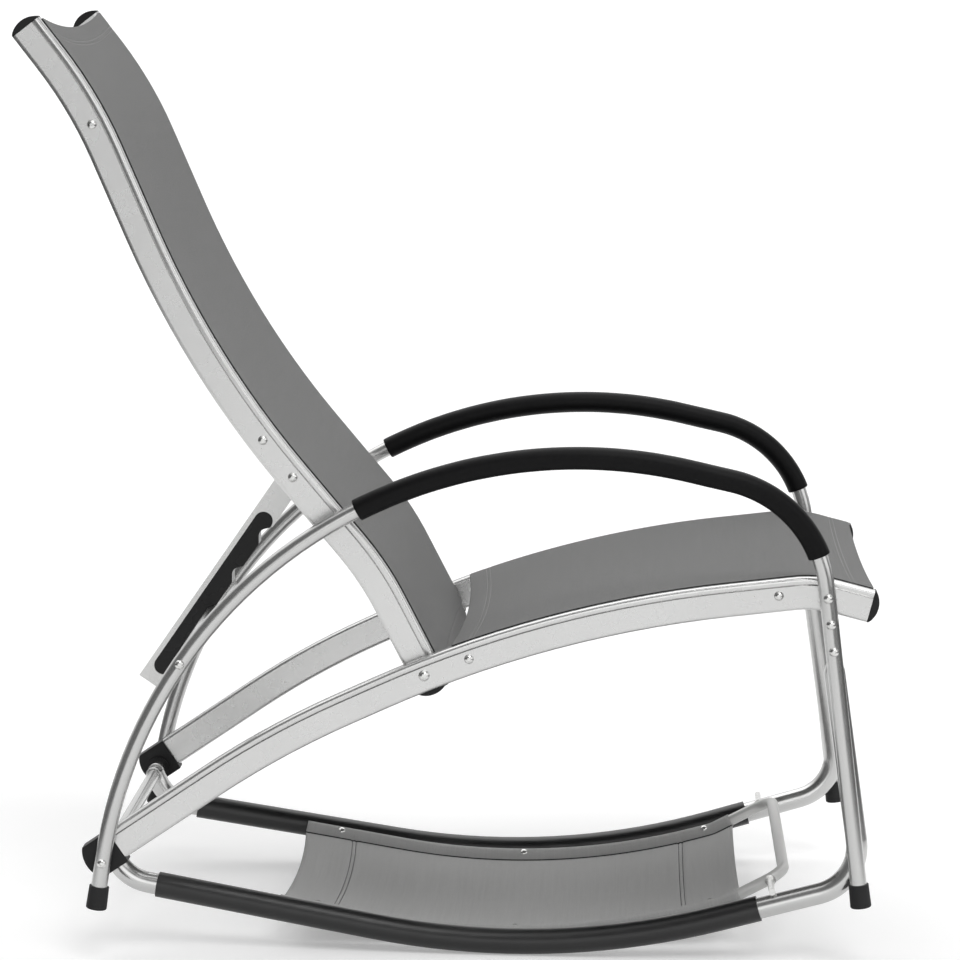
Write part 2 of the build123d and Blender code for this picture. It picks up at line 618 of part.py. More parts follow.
def notch_outline(along):
    """A notch whose seat is round and whose flanks lean away from the bar."""
    seat_r = LOCKING_BAR_D / 2 + NOTCH_CLEAR
    ramp = radians(RAMP_ANGLE)
    back = radians(NOTCH_BACK_ANGLE)
    reach = 2 * LOCKING_BAR_D
    ramp_foot = (along - seat_r * sin(ramp), BAR_OFFSET - seat_r * cos(ramp))
    ramp_top = (ramp_foot[0] - reach * cos(ramp), ramp_foot[1] + reach * sin(ramp))
    back_foot = (along + seat_r * sin(back), BAR_OFFSET - seat_r * cos(back))
    back_top = (back_foot[0] + reach * cos(back), back_foot[1] + reach * sin(back))
    flanks = make_face(Polyline(ramp_foot, ramp_top, back_top, back_foot, close=True))
    return flanks + Pos(along, BAR_OFFSET) * Circle(seat_r)


def end_tooth_outline():
    """The tall tooth past the last notch, which keeps the bar from running off the rack."""
    seat_r = LOCKING_BAR_D / 2 + NOTCH_CLEAR
    back = radians(NOTCH_BACK_ANGLE)
    foot = (bar_along + seat_r * sin(back), BAR_OFFSET - seat_r * cos(back))
    crest = (foot[0] + (END_TOOTH_HEIGHT - foot[1]) / tan(back), END_TOOTH_HEIGHT)
    far = (crest[0] + END_TOOTH_CREST, END_TOOTH_HEIGHT)
    heel = (far[0] + END_TOOTH_RUN, rack_edge)
    return make_face(Polyline(foot, crest, far, heel, (heel[0], 0), (foot[0], 0), close=True))


def make_strut_rack():
    window = window_outline(-FIT_GAP)
    outer = strut_slab(window + end_tooth_outline(), STRUT_WIDTH / 2)
    start = WINDOW_START - RACK_OVERLAP
    end = WINDOW_END + RACK_OVERLAP
    back = -STRUT_DEPTH / 2 + STRUT_SHEET + FIT_GAP
    core = Pos((start + end) / 2, (back + rack_edge) / 2) * Rectangle(end - start, rack_edge - back)
    rack = outer + strut_slab(core, STRUT_WIDTH / 2 - STRUT_SHEET - FIT_GAP)
    for step in range(NOTCH_COUNT):
        notch = notch_outline(bar_along - step * NOTCH_PITCH)
        rack -= strut_slab(notch, STRUT_WIDTH)
    return rack


def make_strut_bush():
    """A plain bush that carries the channel on the pivot rod."""
    bush = rod(*strut_pivot, STRUT_Y - STRUT_WIDTH / 2, STRUT_Y + STRUT_WIDTH / 2, BUSH_D)
    return bush - rod(*strut_pivot, STRUT_Y - STRUT_WIDTH, STRUT_Y + STRUT_WIDTH, PIVOT_ROD_D + 2 * RUN_GAP)


def make_strut_clips():
    clips = []
    for side in (-1, 1):
        near = STRUT_Y + side * (STRUT_WIDTH / 2 + STRUT_SIDE_CLEAR)
        far = near + side * CLIP_T
        bore = rod(*strut_pivot, near - side * CUT_PAST, far + side * CUT_PAST, PIVOT_ROD_D + 2 * RUN_GAP)
        clips.append(rod(*strut_pivot, near, far, CLIP_D) - bore)
    return group(clips)


def make_pivot_rod():
    bar = rod(*strut_pivot, -back_crossbar_half, back_crossbar_half, PIVOT_ROD_D)
    for side in (-1, 1):
        end = side * back_crossbar_half
        bar -= rod(*strut_pivot, end + side * CUT_PAST, end - side * INSERT_LENGTH, BOLT_D + 2 * RUN_GAP)
    return bar


# ---- footrest ----
def runner_centre_at(x):
    """Height of the runner's middle on its front straight."""
    return rocker_corner[1] + (x - rocker_corner[0]) * tan(radians(ROCKER_FRONT_SLOPE))


foot_knee_x = ROCKER_LOW_X + FOOT_CURVE_R * sin(radians(ROCKER_FRONT_SLOPE)) + FOOT_KNEE_PAST_CURVE
foot_rear, foot_curve, foot_knee = rocker_line(FOOT_CURVE_R, FOOT_REAR_X, foot_knee_x, FOOT_LOW_Z)
peg_rise = (RUNNER_D / 2 + PEG_D / 2 + REST_GAP) / cos(radians(ROCKER_FRONT_SLOPE))
peg_x = foot_knee[0] + PEG_PAST_KNEE
peg_at = (peg_x, runner_centre_at(peg_x) + peg_rise)
foot_climb = (peg_at[1] - foot_knee[1]) / (peg_at[0] - foot_knee[0])
foot_front = (foot_knee[0] + FOOT_FRONT_PAST_KNEE, foot_knee[1] + FOOT_FRONT_PAST_KNEE * foot_climb)
foot_leg_end = tube_end(foot_rear, foot_curve, FOOT_LEG_INSET)
foot_sling_front = (foot_knee[0] + FOOT_SLING_PAST_KNEE, foot_knee[1] + FOOT_SLING_PAST_KNEE * foot_climb)
foot_sling_path = side_path([foot_rear, foot_curve, foot_knee, foot_sling_front], [FOOT_CURVE_R, FOOT_KNEE_R])


def make_footrest_frame():
    leg = [foot_leg_end, foot_curve, foot_knee, foot_front]
    near = [(x, -FOOT_LEG_Y, z) for x, z in leg]
    far = [(x, FOOT_LEG_Y, z) for x, z in reversed(leg)]
    radii = [FOOT_CURVE_R, FOOT_KNEE_R, FOOT_CORNER_R]
    path = Wire(FilletPolyline(*near, *far, radius=radii + radii[::-1]).edges())
    start = path.position_at(0)
    plane = Plane(origin=start, x_dir=(0, 1, 0), z_dir=path.tangent_at(0))
    frame = sweep(plane * ring(FOOT_TUBE_D, FOOT_TUBE_WALL), path=path)
    for side in (-1, 1):
        frame -= rod(*peg_at, side * FOOT_LEG_Y, side * (FOOT_LEG_Y + FOOT_TUBE_D), PEG_D)
    for tool in footrest_rivet_places(FOOT_RIVET_D + 2 * RUN_GAP):
        frame -= tool
    return frame


def rivet_spots():
    """Where the footrest's rivets go: (point, tangent) pairs on the sling's path."""
    spots = []
    for x in FOOT_RIVET_XS:
        share = (x - foot_rear[0]) / (foot_sling_front[0] - foot_rear[0])
        spots.append((foot_sling_path.position_at(share), foot_sling_path.tangent_at(share)))
    return spots


def rivet_plane(point, tangent, side):
    """A plane on a leg with local z square to it, up and leaning inwards."""
    origin = (point.X, side * FOOT_LEG_Y, point.Z)
    up = cos(radians(FOOT_RIVET_LEAN))
    inwards = -side * sin(radians(FOOT_RIVET_LEAN))
    axis = (-tangent.Z * up, inwards, tangent.X * up)
    return Plane(origin=origin, x_dir=(tangent.X, 0, tangent.Z), z_dir=axis)


def footrest_rivet_places(diameter):
    """Round bars through the leg's inner upper wall at each rivet."""
    length = FOOT_TUBE_D
    bar = Pos(0, 0, length / 2) * Cylinder(diameter / 2, length)
    spots = rivet_spots()
    return [rivet_plane(point, tangent, side) * bar for point, tangent in spots for side in (-1, 1)]


def make_footrest_rivets():
    rivets = []
    seat = FOOT_TUBE_D / 2 + SOFT_GAP + SLING_T + FACE_GAP
    depth = FOOT_TUBE_D / 2 - FOOT_TUBE_WALL - FOOT_RIVET_PAST_WALL
    dome_r = (FOOT_RIVET_HEAD_D**2 / 4 + FOOT_RIVET_HEAD_H**2) / (2 * FOOT_RIVET_HEAD_H)
    head = Pos(0, 0, seat + FOOT_RIVET_HEAD_H / 2) * Cylinder(FOOT_RIVET_HEAD_D / 2, FOOT_RIVET_HEAD_H)
    head &= Pos(0, 0, seat + FOOT_RIVET_HEAD_H - dome_r) * Sphere(dome_r)
    shank = Pos(0, 0, (seat + depth) / 2) * Cylinder(FOOT_RIVET_D / 2, seat - depth)
    for point, tangent in rivet_spots():
        for side in (-1, 1):
            rivets.append(rivet_plane(point, tangent, side) * (head + shank))
    return group(rivets)


def make_footrest_sling():
    bore = FOOT_TUBE_D / 2 + SOFT_GAP
    section = Rectangle(2 * FOOT_LEG_Y, SLING_T)
    for side in (-1, 1):
        section += Pos(side * FOOT_LEG_Y, 0) * Circle(bore + SLING_T)
    for side in (-1, 1):
        section -= Pos(side * FOOT_LEG_Y, 0) * Circle(bore)
    sling = swept(section, foot_sling_path)
    for tool in footrest_rivet_places(FOOT_RIVET_D + 2 * SOFT_GAP):
        sling -= tool
    return sling


def make_footrest_pegs():
    """Pegs that stick out of the legs and lie on the bare front ends of the runners."""
    inner = FOOT_LEG_Y
    outer = runner_y_at(peg_x) + PEG_OVERHANG
    collar = FOOT_LEG_Y + FOOT_TUBE_D / 2 + FACE_GAP
    peg = rod(*peg_at, -inner, -outer, PEG_D - 2 * RUN_GAP)
    peg += rod(*peg_at, -collar, -collar - PEG_COLLAR_T, PEG_COLLAR_D)
    return both_sides(peg)


def make_footrest_plugs():
    direction = Vector(foot_curve[0] - foot_rear[0], 0, foot_curve[1] - foot_rear[1]).normalized()
    origin = (foot_leg_end[0], -FOOT_LEG_Y, foot_leg_end[1])
    plane = Plane(origin=origin, x_dir=(0, 1, 0), z_dir=direction)
    inner_d = FOOT_TUBE_D - 2 * FOOT_TUBE_WALL - 2 * RUN_GAP
    plug = extrude(plane * Circle(inner_d / 2), FOOT_PLUG_LENGTH)
    plug += extrude(plane.offset(-FACE_GAP) * Circle(FOOT_TUBE_D / 2), -FOOT_PLUG_HEAD)
    plug += extrude(plane.offset(-FACE_GAP) * Circle(inner_d / 2), FACE_GAP)
    return both_sides(plug)


# ---- fasteners ----
def bolt_set(places, head_y, length):
    return group([both_sides(button_bolt(x, z, head_y, length)) for x, z in places])


def make_hinge_bolts():
    length = SEAT_RAIL_OUT - BACK_RAIL_IN + 2 * FACE_GAP + HINGE_NUT_T + BOLT_TAIL
    sizes = (HINGE_BOLT_D, HINGE_HEAD_D, HINGE_HEAD_H, HINGE_HEX)
    return both_sides(button_bolt(*hinge, SEAT_RAIL_OUT + FACE_GAP, length, sizes))


def make_hinge_washers():
    washer = hole(*hinge, BACK_RAIL_OUT + FACE_GAP, SEAT_RAIL_IN - FACE_GAP, HINGE_WASHER_D)
    return both_sides(washer - hole(*hinge, BACK_RAIL_OUT, SEAT_RAIL_IN, HINGE_BOLT_D + 2 * RUN_GAP))


def make_nut(place, face_y, thickness, flats, bore):
    """A right-hand nut against the inner face at -face_y."""
    nut = hex_rod(*place, -face_y + FACE_GAP, -face_y + FACE_GAP + thickness, flats)
    return nut - rod(*place, -face_y - CUT_PAST, -face_y + thickness + CUT_PAST, bore)


def make_arm_seat_nuts():
    """Rivet nuts in the seat rails' outer walls."""
    end = SEAT_RAIL_OUT - RIVET_NUT_LENGTH
    nut = hole(*arm_seat_bolt, end, SEAT_RAIL_OUT - FACE_GAP, RIVET_NUT_D - 2 * RUN_GAP)
    bore = hole(*arm_seat_bolt, end - CUT_PAST, SEAT_RAIL_OUT + CUT_PAST, BOLT_D + 2 * RUN_GAP)
    return both_sides(nut - bore)


seat_sling_path = part_of(seat_path, SEAT_SLING_REAR_ALONG, seat_path.length - SEAT_SLING_FRONT_MARGIN)
back_sling_path = part_of(
    back_path, BACK_TAIL + BACK_SLING_BOTTOM_ALONG, back_path.length - BACK_SLING_TOP_MARGIN)
tab_face = ARM_IN - FIT_GAP - TAB_T
arm_runner_bolt_length = ARM_OUT - tab_face + FACE_GAP + NUT_T + BOLT_TAIL
crossbar_ends = [
    (rear_seat_crossbar, seat_crossbar_half, CROSSBAR_D),
    (front_seat_crossbar, seat_crossbar_half, CROSSBAR_D),
    (locking_bar_at, locking_bar_half, LOCKING_BAR_D),
    (rear_crossbar_at, rear_crossbar_half, REAR_CROSSBAR_D),
]
back_crossbar_ends = [(place, back_crossbar_half, CROSSBAR_D) for place in (middle_crossbar, top_crossbar)]

pairs = {
    "seat_rail": make_seat_rail(),
    "seat_rail_cap": make_seat_rail_cap(),
    "elbow": make_elbow(),
    "arm_tube": make_arm_tube(),
    "armrest_grip": make_grip(),
    "front_foot_cap": make_foot_cap(False),
    "rear_foot_cap": make_foot_cap(True),
    "runner_tube": make_runner_tube(),
    "runner_sleeve": make_sleeve(),
    "backrest_rail": make_back_rail(),
    "backrest_top_cap": make_top_cap(),
    "backrest_pivot_cap": make_pivot_cap(),
}
singles = {
    "rear_crossbar": tube_across(rear_crossbar_at, rear_crossbar_half, REAR_CROSSBAR_D, CROSSBAR_WALL),
    "seat_crossbar_front": tube_across(front_seat_crossbar, seat_crossbar_half, CROSSBAR_D, CROSSBAR_WALL),
    "seat_crossbar_rear": tube_across(rear_seat_crossbar, seat_crossbar_half, CROSSBAR_D, CROSSBAR_WALL),
    "locking_bar": tube_across(locking_bar_at, locking_bar_half, LOCKING_BAR_D, CROSSBAR_WALL),
    "crossbar_inserts": group([both_sides(tube_insert(p, h, d, CROSSBAR_WALL)) for p, h, d in crossbar_ends]),
    "seat_sling": make_sling(seat_sling_path, SEAT_RAIL_Y, 1),
    "seat_keder_rods": make_keder_rods(seat_sling_path, SEAT_RAIL_Y, 1),
    "hinge_bolts": make_hinge_bolts(),
    "hinge_washers": make_hinge_washers(),
    "hinge_nuts": both_sides(
        make_nut(hinge, BACK_RAIL_IN, HINGE_NUT_T, HINGE_NUT_HEX, HINGE_BOLT_D + 2 * RUN_GAP)),
    "arm_seat_bolts": bolt_set([arm_seat_bolt], ARM_OUT, ARM_TUBE_D + FIT_GAP + RIVET_NUT_LENGTH),
    "arm_seat_nuts": make_arm_seat_nuts(),
    "arm_runner_bolts": bolt_set(arm_runner_bolts, ARM_OUT, arm_runner_bolt_length),
    "arm_runner_nuts": group(
        [both_sides(make_nut(p, tab_face, NUT_T, NUT_HEX, BOLT_D + 2 * RUN_GAP)) for p in arm_runner_bolts]),
    "elbow_bolts": bolt_set([rear_crossbar_at], ARM_OUT, ARM_OUT - rear_crossbar_half + BOLT_ENGAGE),
    "seat_crossbar_bolts": bolt_set(
        [rear_seat_crossbar, front_seat_crossbar], SEAT_RAIL_OUT + FACE_GAP, RAIL_WIDTH + BOLT_ENGAGE),
    "locking_bar_bolts": bolt_set([locking_bar_at], ARM_OUT, ARM_TUBE_D + BOLT_ENGAGE),
    "backrest_crossbar_top": tube_across(top_crossbar, back_crossbar_half, CROSSBAR_D, CROSSBAR_WALL),
    "backrest_crossbar_middle": tube_across(middle_crossbar, back_crossbar_half, CROSSBAR_D, CROSSBAR_WALL),
    "backrest_crossbar_inserts": group(
        [both_sides(tube_insert(p, h, d, CROSSBAR_WALL)) for p, h, d in back_crossbar_ends]),
    "strut_pivot_rod": make_pivot_rod(),
    "backrest_sling": make_sling(back_sling_path, BACK_RAIL_Y, -1),
    "backrest_keder_rods": make_keder_rods(back_sling_path, BACK_RAIL_Y, -1),
    "backrest_bolts": bolt_set(
        [strut_pivot, middle_crossbar, top_crossbar], BACK_RAIL_OUT + FACE_GAP, RAIL_WIDTH + BOLT_ENGAGE),
    "strut_retaining_clips": make_strut_clips(),
    "strut_channel": make_strut_channel(),
    "strut_rack": make_strut_rack(),
    "strut_pivot_bush": make_strut_bush(),
    "footrest_frame": make_footrest_frame(),
    "footrest_sling": make_footrest_sling(),
    "footrest_rivets": make_footrest_rivets(),
    "footrest_pegs": make_footrest_pegs(),
    "footrest_end_plugs": make_footrest_plugs(),
}

nodes = dict(singles)
for name, shape in pairs.items():
    nodes[name + "_right"] = shape
    nodes[name + "_left"] = mirrored(shape)

# ---- the origin goes to the middle of the floor under the chair ----
box = Compound([solid for shape in nodes.values() for solid in shape.solids()]).bounding_box()
centre_x = (box.min.X + box.max.X) / 2
to_origin = Location((-centre_x, 0, -box.min.Z))

os.makedirs("parts", exist_ok=True)
for name, shape in nodes.items():
    export_step(shape.moved(to_origin), os.path.join("parts", name + ".step"))


def report_place(name, place):
    """Print a side-view place in the finished part's frame."""
    print(f"{name}: x {place[0] - centre_x:.3f}, z {place[1] - box.min.Z:.3f}")


report_place("hinge", hinge)
report_place("strut pivot", strut_pivot)
report_place("locking bar", locking_bar_at)
report_place("peg", peg_at)
print(f"strut heading {degrees(strut_heading):.3f} degrees")
print(f"size {box.size.X:.1f} x {box.size.Y:.1f} x {box.size.Z:.1f}")
print(f"shift x {-centre_x:.3f}, z {-box.min.Z:.3f}")
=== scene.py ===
"""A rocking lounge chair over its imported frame: slings, foam grips, sewing, welds and finishes."""

import json
from math import acos, atan2, cos, hypot, pi, radians, sin, tan

import bmesh
import bpy
from bpy.props import FloatProperty, FloatVectorProperty, IntProperty, PointerProperty
from mathutils import Matrix, Vector, noise


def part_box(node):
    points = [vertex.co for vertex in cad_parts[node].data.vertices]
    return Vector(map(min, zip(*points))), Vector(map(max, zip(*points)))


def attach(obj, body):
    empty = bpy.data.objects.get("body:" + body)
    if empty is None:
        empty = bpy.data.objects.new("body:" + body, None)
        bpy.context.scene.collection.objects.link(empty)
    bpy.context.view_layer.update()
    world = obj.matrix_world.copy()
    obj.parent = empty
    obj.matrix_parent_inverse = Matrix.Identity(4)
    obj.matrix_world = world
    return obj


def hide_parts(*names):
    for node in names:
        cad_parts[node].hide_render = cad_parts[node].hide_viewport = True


bl_info = {
    "name": "Rocking lounge chair",
    "version": (1, 0, 0),
    "blender": (4, 5, 0),
    "location": "View3D > Sidebar > Chair",
    "description": "Dresses a rocking lounge chair with slings, grips, stitching and finishes",
    "category": "Object",
}

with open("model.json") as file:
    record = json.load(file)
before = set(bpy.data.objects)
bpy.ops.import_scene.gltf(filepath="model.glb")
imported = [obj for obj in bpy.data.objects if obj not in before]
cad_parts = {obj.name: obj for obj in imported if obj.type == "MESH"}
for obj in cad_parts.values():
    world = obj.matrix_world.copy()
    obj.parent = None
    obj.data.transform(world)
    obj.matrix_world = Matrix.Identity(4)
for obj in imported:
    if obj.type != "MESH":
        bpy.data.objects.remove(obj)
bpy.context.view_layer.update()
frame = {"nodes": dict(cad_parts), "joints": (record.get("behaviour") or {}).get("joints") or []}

# ---- the chair's own sizes, in metres; side-view points are (x, z) ----
SEAT_CORNERS = [
    (-0.4127, 0.1350), (-0.2287, 0.2589), (0.0879, 0.4030), (0.3962, 0.4377), (0.4594, 0.4211)]
SEAT_RADII = [1.057, 1.342, 0.129]
HINGE_ALONG = 0.413
SEAT_REAR_ALONG = 0.454
SEAT_FRONT_MARGIN = 0.002
SEAT_SLIT_Y = 0.2673
SEAT_RAIL_IN = 0.2583

BACK_CORNERS = [(-0.0599, 0.1164), (-0.2600, 0.3565), (-0.3892, 0.6577), (-0.4547, 0.7431)]
BACK_RADII = [0.360, 1.129, 0.496]
BACK_TAIL = 0.019
BACK_BOTTOM_ALONG = 0.011
BACK_TOP_MARGIN = 0.003
BACK_SLIT_Y = 0.2451
BACK_RAIL_IN = 0.2361
BACK_ROLL_HALF_WIDTH = 0.2230
BACK_ROLL_DROP = 0.0125
BACK_ROLL_RADIUS = 0.0085
BACK_ROLL_TURN = radians(250)

SLING_LEVEL = 0.0198
SLING_THICKNESS = 0.0009
SLIT_DEPTH = 0.0032
SLIT_BEND = 0.0010
# painted shade: how far across the cloth's bend into each slit is made black
SLIT_SHADE_WIDTH = 0.9 * SLIT_BEND

HEM_GAP = 1.05 * SLING_THICKNESS
HEM_FOLD = 0.002
HEM_SIDE_MARGIN = 0.0015
SEAM_SIDE_MARGIN = 0.002
SEAM_DIP = 0.00035
SEAM_DIP_REACH = 0.0018
STITCH_SINK = 0.0002
STITCH_HALF_LENGTH = 0.42  # of the pitch
STITCH_FLATNESS = 0.8  # of the thread's thickness

FOOT_CORNERS = [(-0.2300, 0.05039), (0.08597, -0.00475), (0.2910, 0.05211), (0.3135, 0.06384)]
FOOT_RADII = [0.870, 0.050]
FOOT_LEG_Y = 0.200
FOOT_FRONT_CURVE = 0.4  # of the rear edge's curve
FOOT_WRAP_RADIUS = 0.0078
FOOT_SEAM_Y = 0.1840
FOOT_SEAM_DROP = 0.0040
FOOT_SEAM_STEP = 0.0016
# painted shade: half width and steepness of the faces in the side seam's step that are painted dark
FOOT_STEP_SHADE_HALF_WIDTH = 0.0009
FOOT_STEP_SHADE_STEEP = 0.6
FOOT_STEP_RUN = 0.0003
FOOT_FLAT_MARGIN = 0.0030
FOOT_LAP_GAP = 1.15 * SLING_THICKNESS
FOOT_LAP_OUT = 0.0005
FOOT_LAP = 0.008
FOOT_SEAMS_X = (-0.170, 0.246)
FOOT_DIP = 0.0009
FOOT_DIP_REACH = 0.0020
FOOT_STITCH_MARGIN = 0.004
FOOT_STITCH_SINK = 0.0003
FOOT_SIDE_STITCH_IN = 0.0025

ARM_CORNERS = [(0.4518, 0.0710), (0.3964, 0.5448), (-0.3388, 0.7125), (-0.4363, 0.0611)]
ARM_RADII = [0.141, 0.559]
ARM_Y = 0.288
ARM_TUBE_RADIUS = 0.0095
GRIP_FRONT_ALONG = 0.413
GRIP_REAR_ALONG = 0.993
GRIP_RADIUS = 0.01325
GRIP_CLEARANCE = 0.00006
GRIP_ROUNDING = 0.0018
GRIP_PLAIN_MARGIN = 0.004
GRIP_DENT = 0.00012
GRIP_DENTS_PER_METRE = 45.0

RUNNER_REAR_Y = 0.2132
RUNNER_RADIUS = 0.0125
WELD_BESIDE = 0.0008
WELD_PROUD = 0.0009
WELD_RADIUS = 0.0017
WELD_RIPPLE = 0.00035

# ---- how finely the meshes are divided ----
HEM_ROWS = [
    0.0, 0.001, 0.006, 0.012, 0.018, 0.0205, 0.0215, 0.0225, 0.0239, 0.0253, 0.0263, 0.0273, 0.030]
SLING_ROWS_START = 0.034
SLING_ROWS = 58
SLING_POINTS = 29
HEM_POINTS = 49
FOOT_ROWS = 90
FOOT_DIP_ROWS = (-0.0018, -0.0009, 0.0, 0.0009, 0.0018)
FOOT_ROW_GAP = 0.0004
GRIP_RINGS = 140
GRIP_SEGMENTS = 40
HALVINGS = 40


# ---- sizes and colours that can be set ----
def length_prop(name, description, default, low, high):
    """A length in metres, with its limits."""
    return FloatProperty(
        name=name, description=description, default=default, min=low, max=high, unit="LENGTH")


def colour_prop(name, description, default):
    """A colour of a finish or of the floor."""
    return FloatVectorProperty(
        name=name, description=description, default=default, subtype="COLOR", min=0.0, max=1.0)


class ChairCloth(bpy.types.PropertyGroup):
    """Sizes of the slings and their sewing."""

    seat_sag: length_prop("Seat sag", "How far the seat dips between its rails", 0.0055, 0.0, 0.008)
    back_sag: length_prop(
        "Backrest sag", "How far the backrest dips between its rails", 0.0060, 0.0, 0.008)
    foot_sag: length_prop(
        "Footrest sag", "How far the footrest dips between its legs", 0.0030, 0.0, 0.008)
    seat_rear_curve: length_prop(
        "Seat rear curve", "How far the seat's rear edge is drawn in at mid-width",
        0.007, 0.0, 0.02)
    back_top_curve: length_prop(
        "Backrest top curve", "How far the backrest's top edge is drawn in at mid-width",
        0.013, 0.0, 0.03)
    foot_rear_curve: length_prop(
        "Footrest rear curve", "How far the footrest's rear edge is drawn in at mid-width",
        0.007, 0.0, 0.02)
    hem_depth: length_prop(
        "Hem depth", "How far the cloth is turned under at a free edge", 0.029, 0.01, 0.05)
    seam_from_edge: length_prop(
        "Seam from edge", "Distance of the hem's outer seam from the free edge",
        0.0215, 0.005, 0.04)
    seam_gap: length_prop(
        "Seam gap", "Distance between the two rows of a double seam", 0.0048, 0.001, 0.02)
    stitch_pitch: length_prop(
        "Stitch pitch", "Distance from one stitch to the next", 0.0040, 0.001, 0.01)
    thread_radius: length_prop(
        "Thread radius", "Half the thickness of the sewing thread", 0.00042, 0.0001, 0.001)
    weave_pitch: length_prop(
        "Weave pitch", "Distance between neighbouring yarns", 0.0012, 0.0004, 0.004)


class ChairColours(bpy.types.PropertyGroup):
    """Colours of the finishes."""

    rail: colour_prop("Rails", "Satin silver of the curved rails", (0.61, 0.61, 0.605))
    tube: colour_prop("Tubes", "Silver coat of the round tubes", (0.56, 0.56, 0.555))
    foot_tube: colour_prop(
        "Footrest tube", "Paler matt coat of the footrest's tube", (0.62, 0.62, 0.61))
    cloth: colour_prop("Cloth", "Raised yarn of the slings", (0.262, 0.262, 0.259))
    # painted shade: colour of the hollows and gaps between the yarns, standing in for the shade
    # there; the footrest's dark thread is made from it too
    cloth_dark: colour_prop(
        "Cloth hollows", "Gaps between the yarns of the slings", (0.118, 0.118, 0.117))
    thread: colour_prop("Thread", "Sewing thread", (0.33, 0.33, 0.325))
    foam: colour_prop("Foam", "Foam of the arm grips", (0.0042, 0.0042, 0.0045))
    plastic: colour_prop("Plastic", "Moulded black plastic", (0.009, 0.009, 0.0093))
    steel: colour_prop("Steel", "Bright plated steel of the fasteners", (0.68, 0.68, 0.67))


class ChairStage(bpy.types.PropertyGroup):
    """The floor, the light and the camera."""

    floor: colour_prop("Floor", "Colour of the floor", (0.80, 0.80, 0.80))
    floor_lift: FloatProperty(
        name="Floor lift", description="Whiteness added to the floor where it is seen or mirrored",
        default=0.30, min=0.0, max=1.0)
    studio_dark: FloatProperty(
        name="Studio dark", description="Brightness of the studio between its light panels",
        default=0.16, min=0.0, max=1.0)
    sky_level: FloatProperty(
        name="Sky level", description="Strength of the soft light from all round",
        default=0.76, min=0.0, max=2.0)
    sun_level: FloatProperty(
        name="Sun level", description="Strength of the broad lamp",
        default=0.95, min=0.0, max=5.0)
    sun_spread: FloatProperty(
        name="Sun spread", description="Width of the broad lamp as an angle",
        default=radians(30), subtype="ANGLE")
    focal_length: FloatProperty(
        name="Focal length", description="Focal length of the camera in millimetres",
        default=146.25, min=20.0, max=400.0)
    distance: length_prop(
        "Camera distance", "Distance from the camera to the chair's middle", 4.75, 1.0, 20.0)
    yaw: FloatProperty(
        name="Camera yaw", description="How far the camera looks towards the chair's rear",
        default=radians(2.22), subtype="ANGLE")
    pitch: FloatProperty(
        name="Camera pitch", description="How far the camera looks down",
        default=radians(7.56), subtype="ANGLE")
    look_height: length_prop(
        "Look height", "Height of the point at the image's middle", 0.5286, 0.0, 2.0)
    weld_seed: IntProperty(
        name="Weld seed", description="Seed of the weld beads' unevenness", default=7, min=0)


# ---- side-view lines ----
class SideLine:
    """Straight runs joined by tangent arcs in the side view, measured by length."""

    def __init__(self, corners, radii):
        points = [Vector(corner) for corner in corners]
        self.runs = []
        start = points[0]
        for corner, after, radius in zip(points[1:], points[2:], radii):
            into = (corner - start).normalized()
            out = (after - corner).normalized()
            turn = atan2(into.cross(out), into.dot(out))
            reach = radius * tan(abs(turn) / 2)
            heading = atan2(into.y, into.x)
            arc_start = corner - into * reach
            self.runs.append(((arc_start - start).length, start, heading, 0.0))
            self.runs.append((radius * abs(turn), arc_start, heading, turn))
            start = corner + out * reach
        last = points[-1] - start
        self.runs.append((last.length, start, atan2(last.y, last.x), 0.0))
        self.length = sum(run[0] for run in self.runs)

    def at(self, along):
        """The point and the unit heading at a length along the line, or a little past its ends."""
        left = along
        for length, start, heading, turn in self.runs[:-1]:
            if left <= length:
                break
            left -= length
        else:
            length, start, heading, turn = self.runs[-1]
        if turn == 0.0:
            direction = Vector((cos(heading), sin(heading)))
            return start + direction * left, direction
        bend = turn / length
        now = heading + bend * left
        point = start + Vector((sin(now) - sin(heading), cos(heading) - cos(now))) / bend
        return point, Vector((cos(now), sin(now)))

    def moved(self, shift):
        """The same line moved by a side-view shift."""
        line = SideLine.__new__(SideLine)
        line.runs = [(length, start + shift, heading, turn)
                     for length, start, heading, turn in self.runs]
        line.length = self.length
        return line


def joint_place(name):
    """The side-view place of a joint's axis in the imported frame."""
    place = next(joint for joint in frame["joints"] if joint["name"] == name)["pos_m"]
    return Vector((place[0], place[2]))


seat_drawn = SideLine(SEAT_CORNERS, SEAT_RADII)
hinge = joint_place("backrest_recline")
TO_FRAME = hinge - seat_drawn.at(HINGE_ALONG)[0]
seat_line = seat_drawn.moved(TO_FRAME)
arm_line = SideLine(ARM_CORNERS, ARM_RADII).moved(TO_FRAME)
foot_line = SideLine(FOOT_CORNERS, FOOT_RADII).moved(TO_FRAME)
tail = Vector(BACK_CORNERS[0]).normalized() * BACK_TAIL
back_line = SideLine([-tail, *BACK_CORNERS], BACK_RADII).moved(hinge)


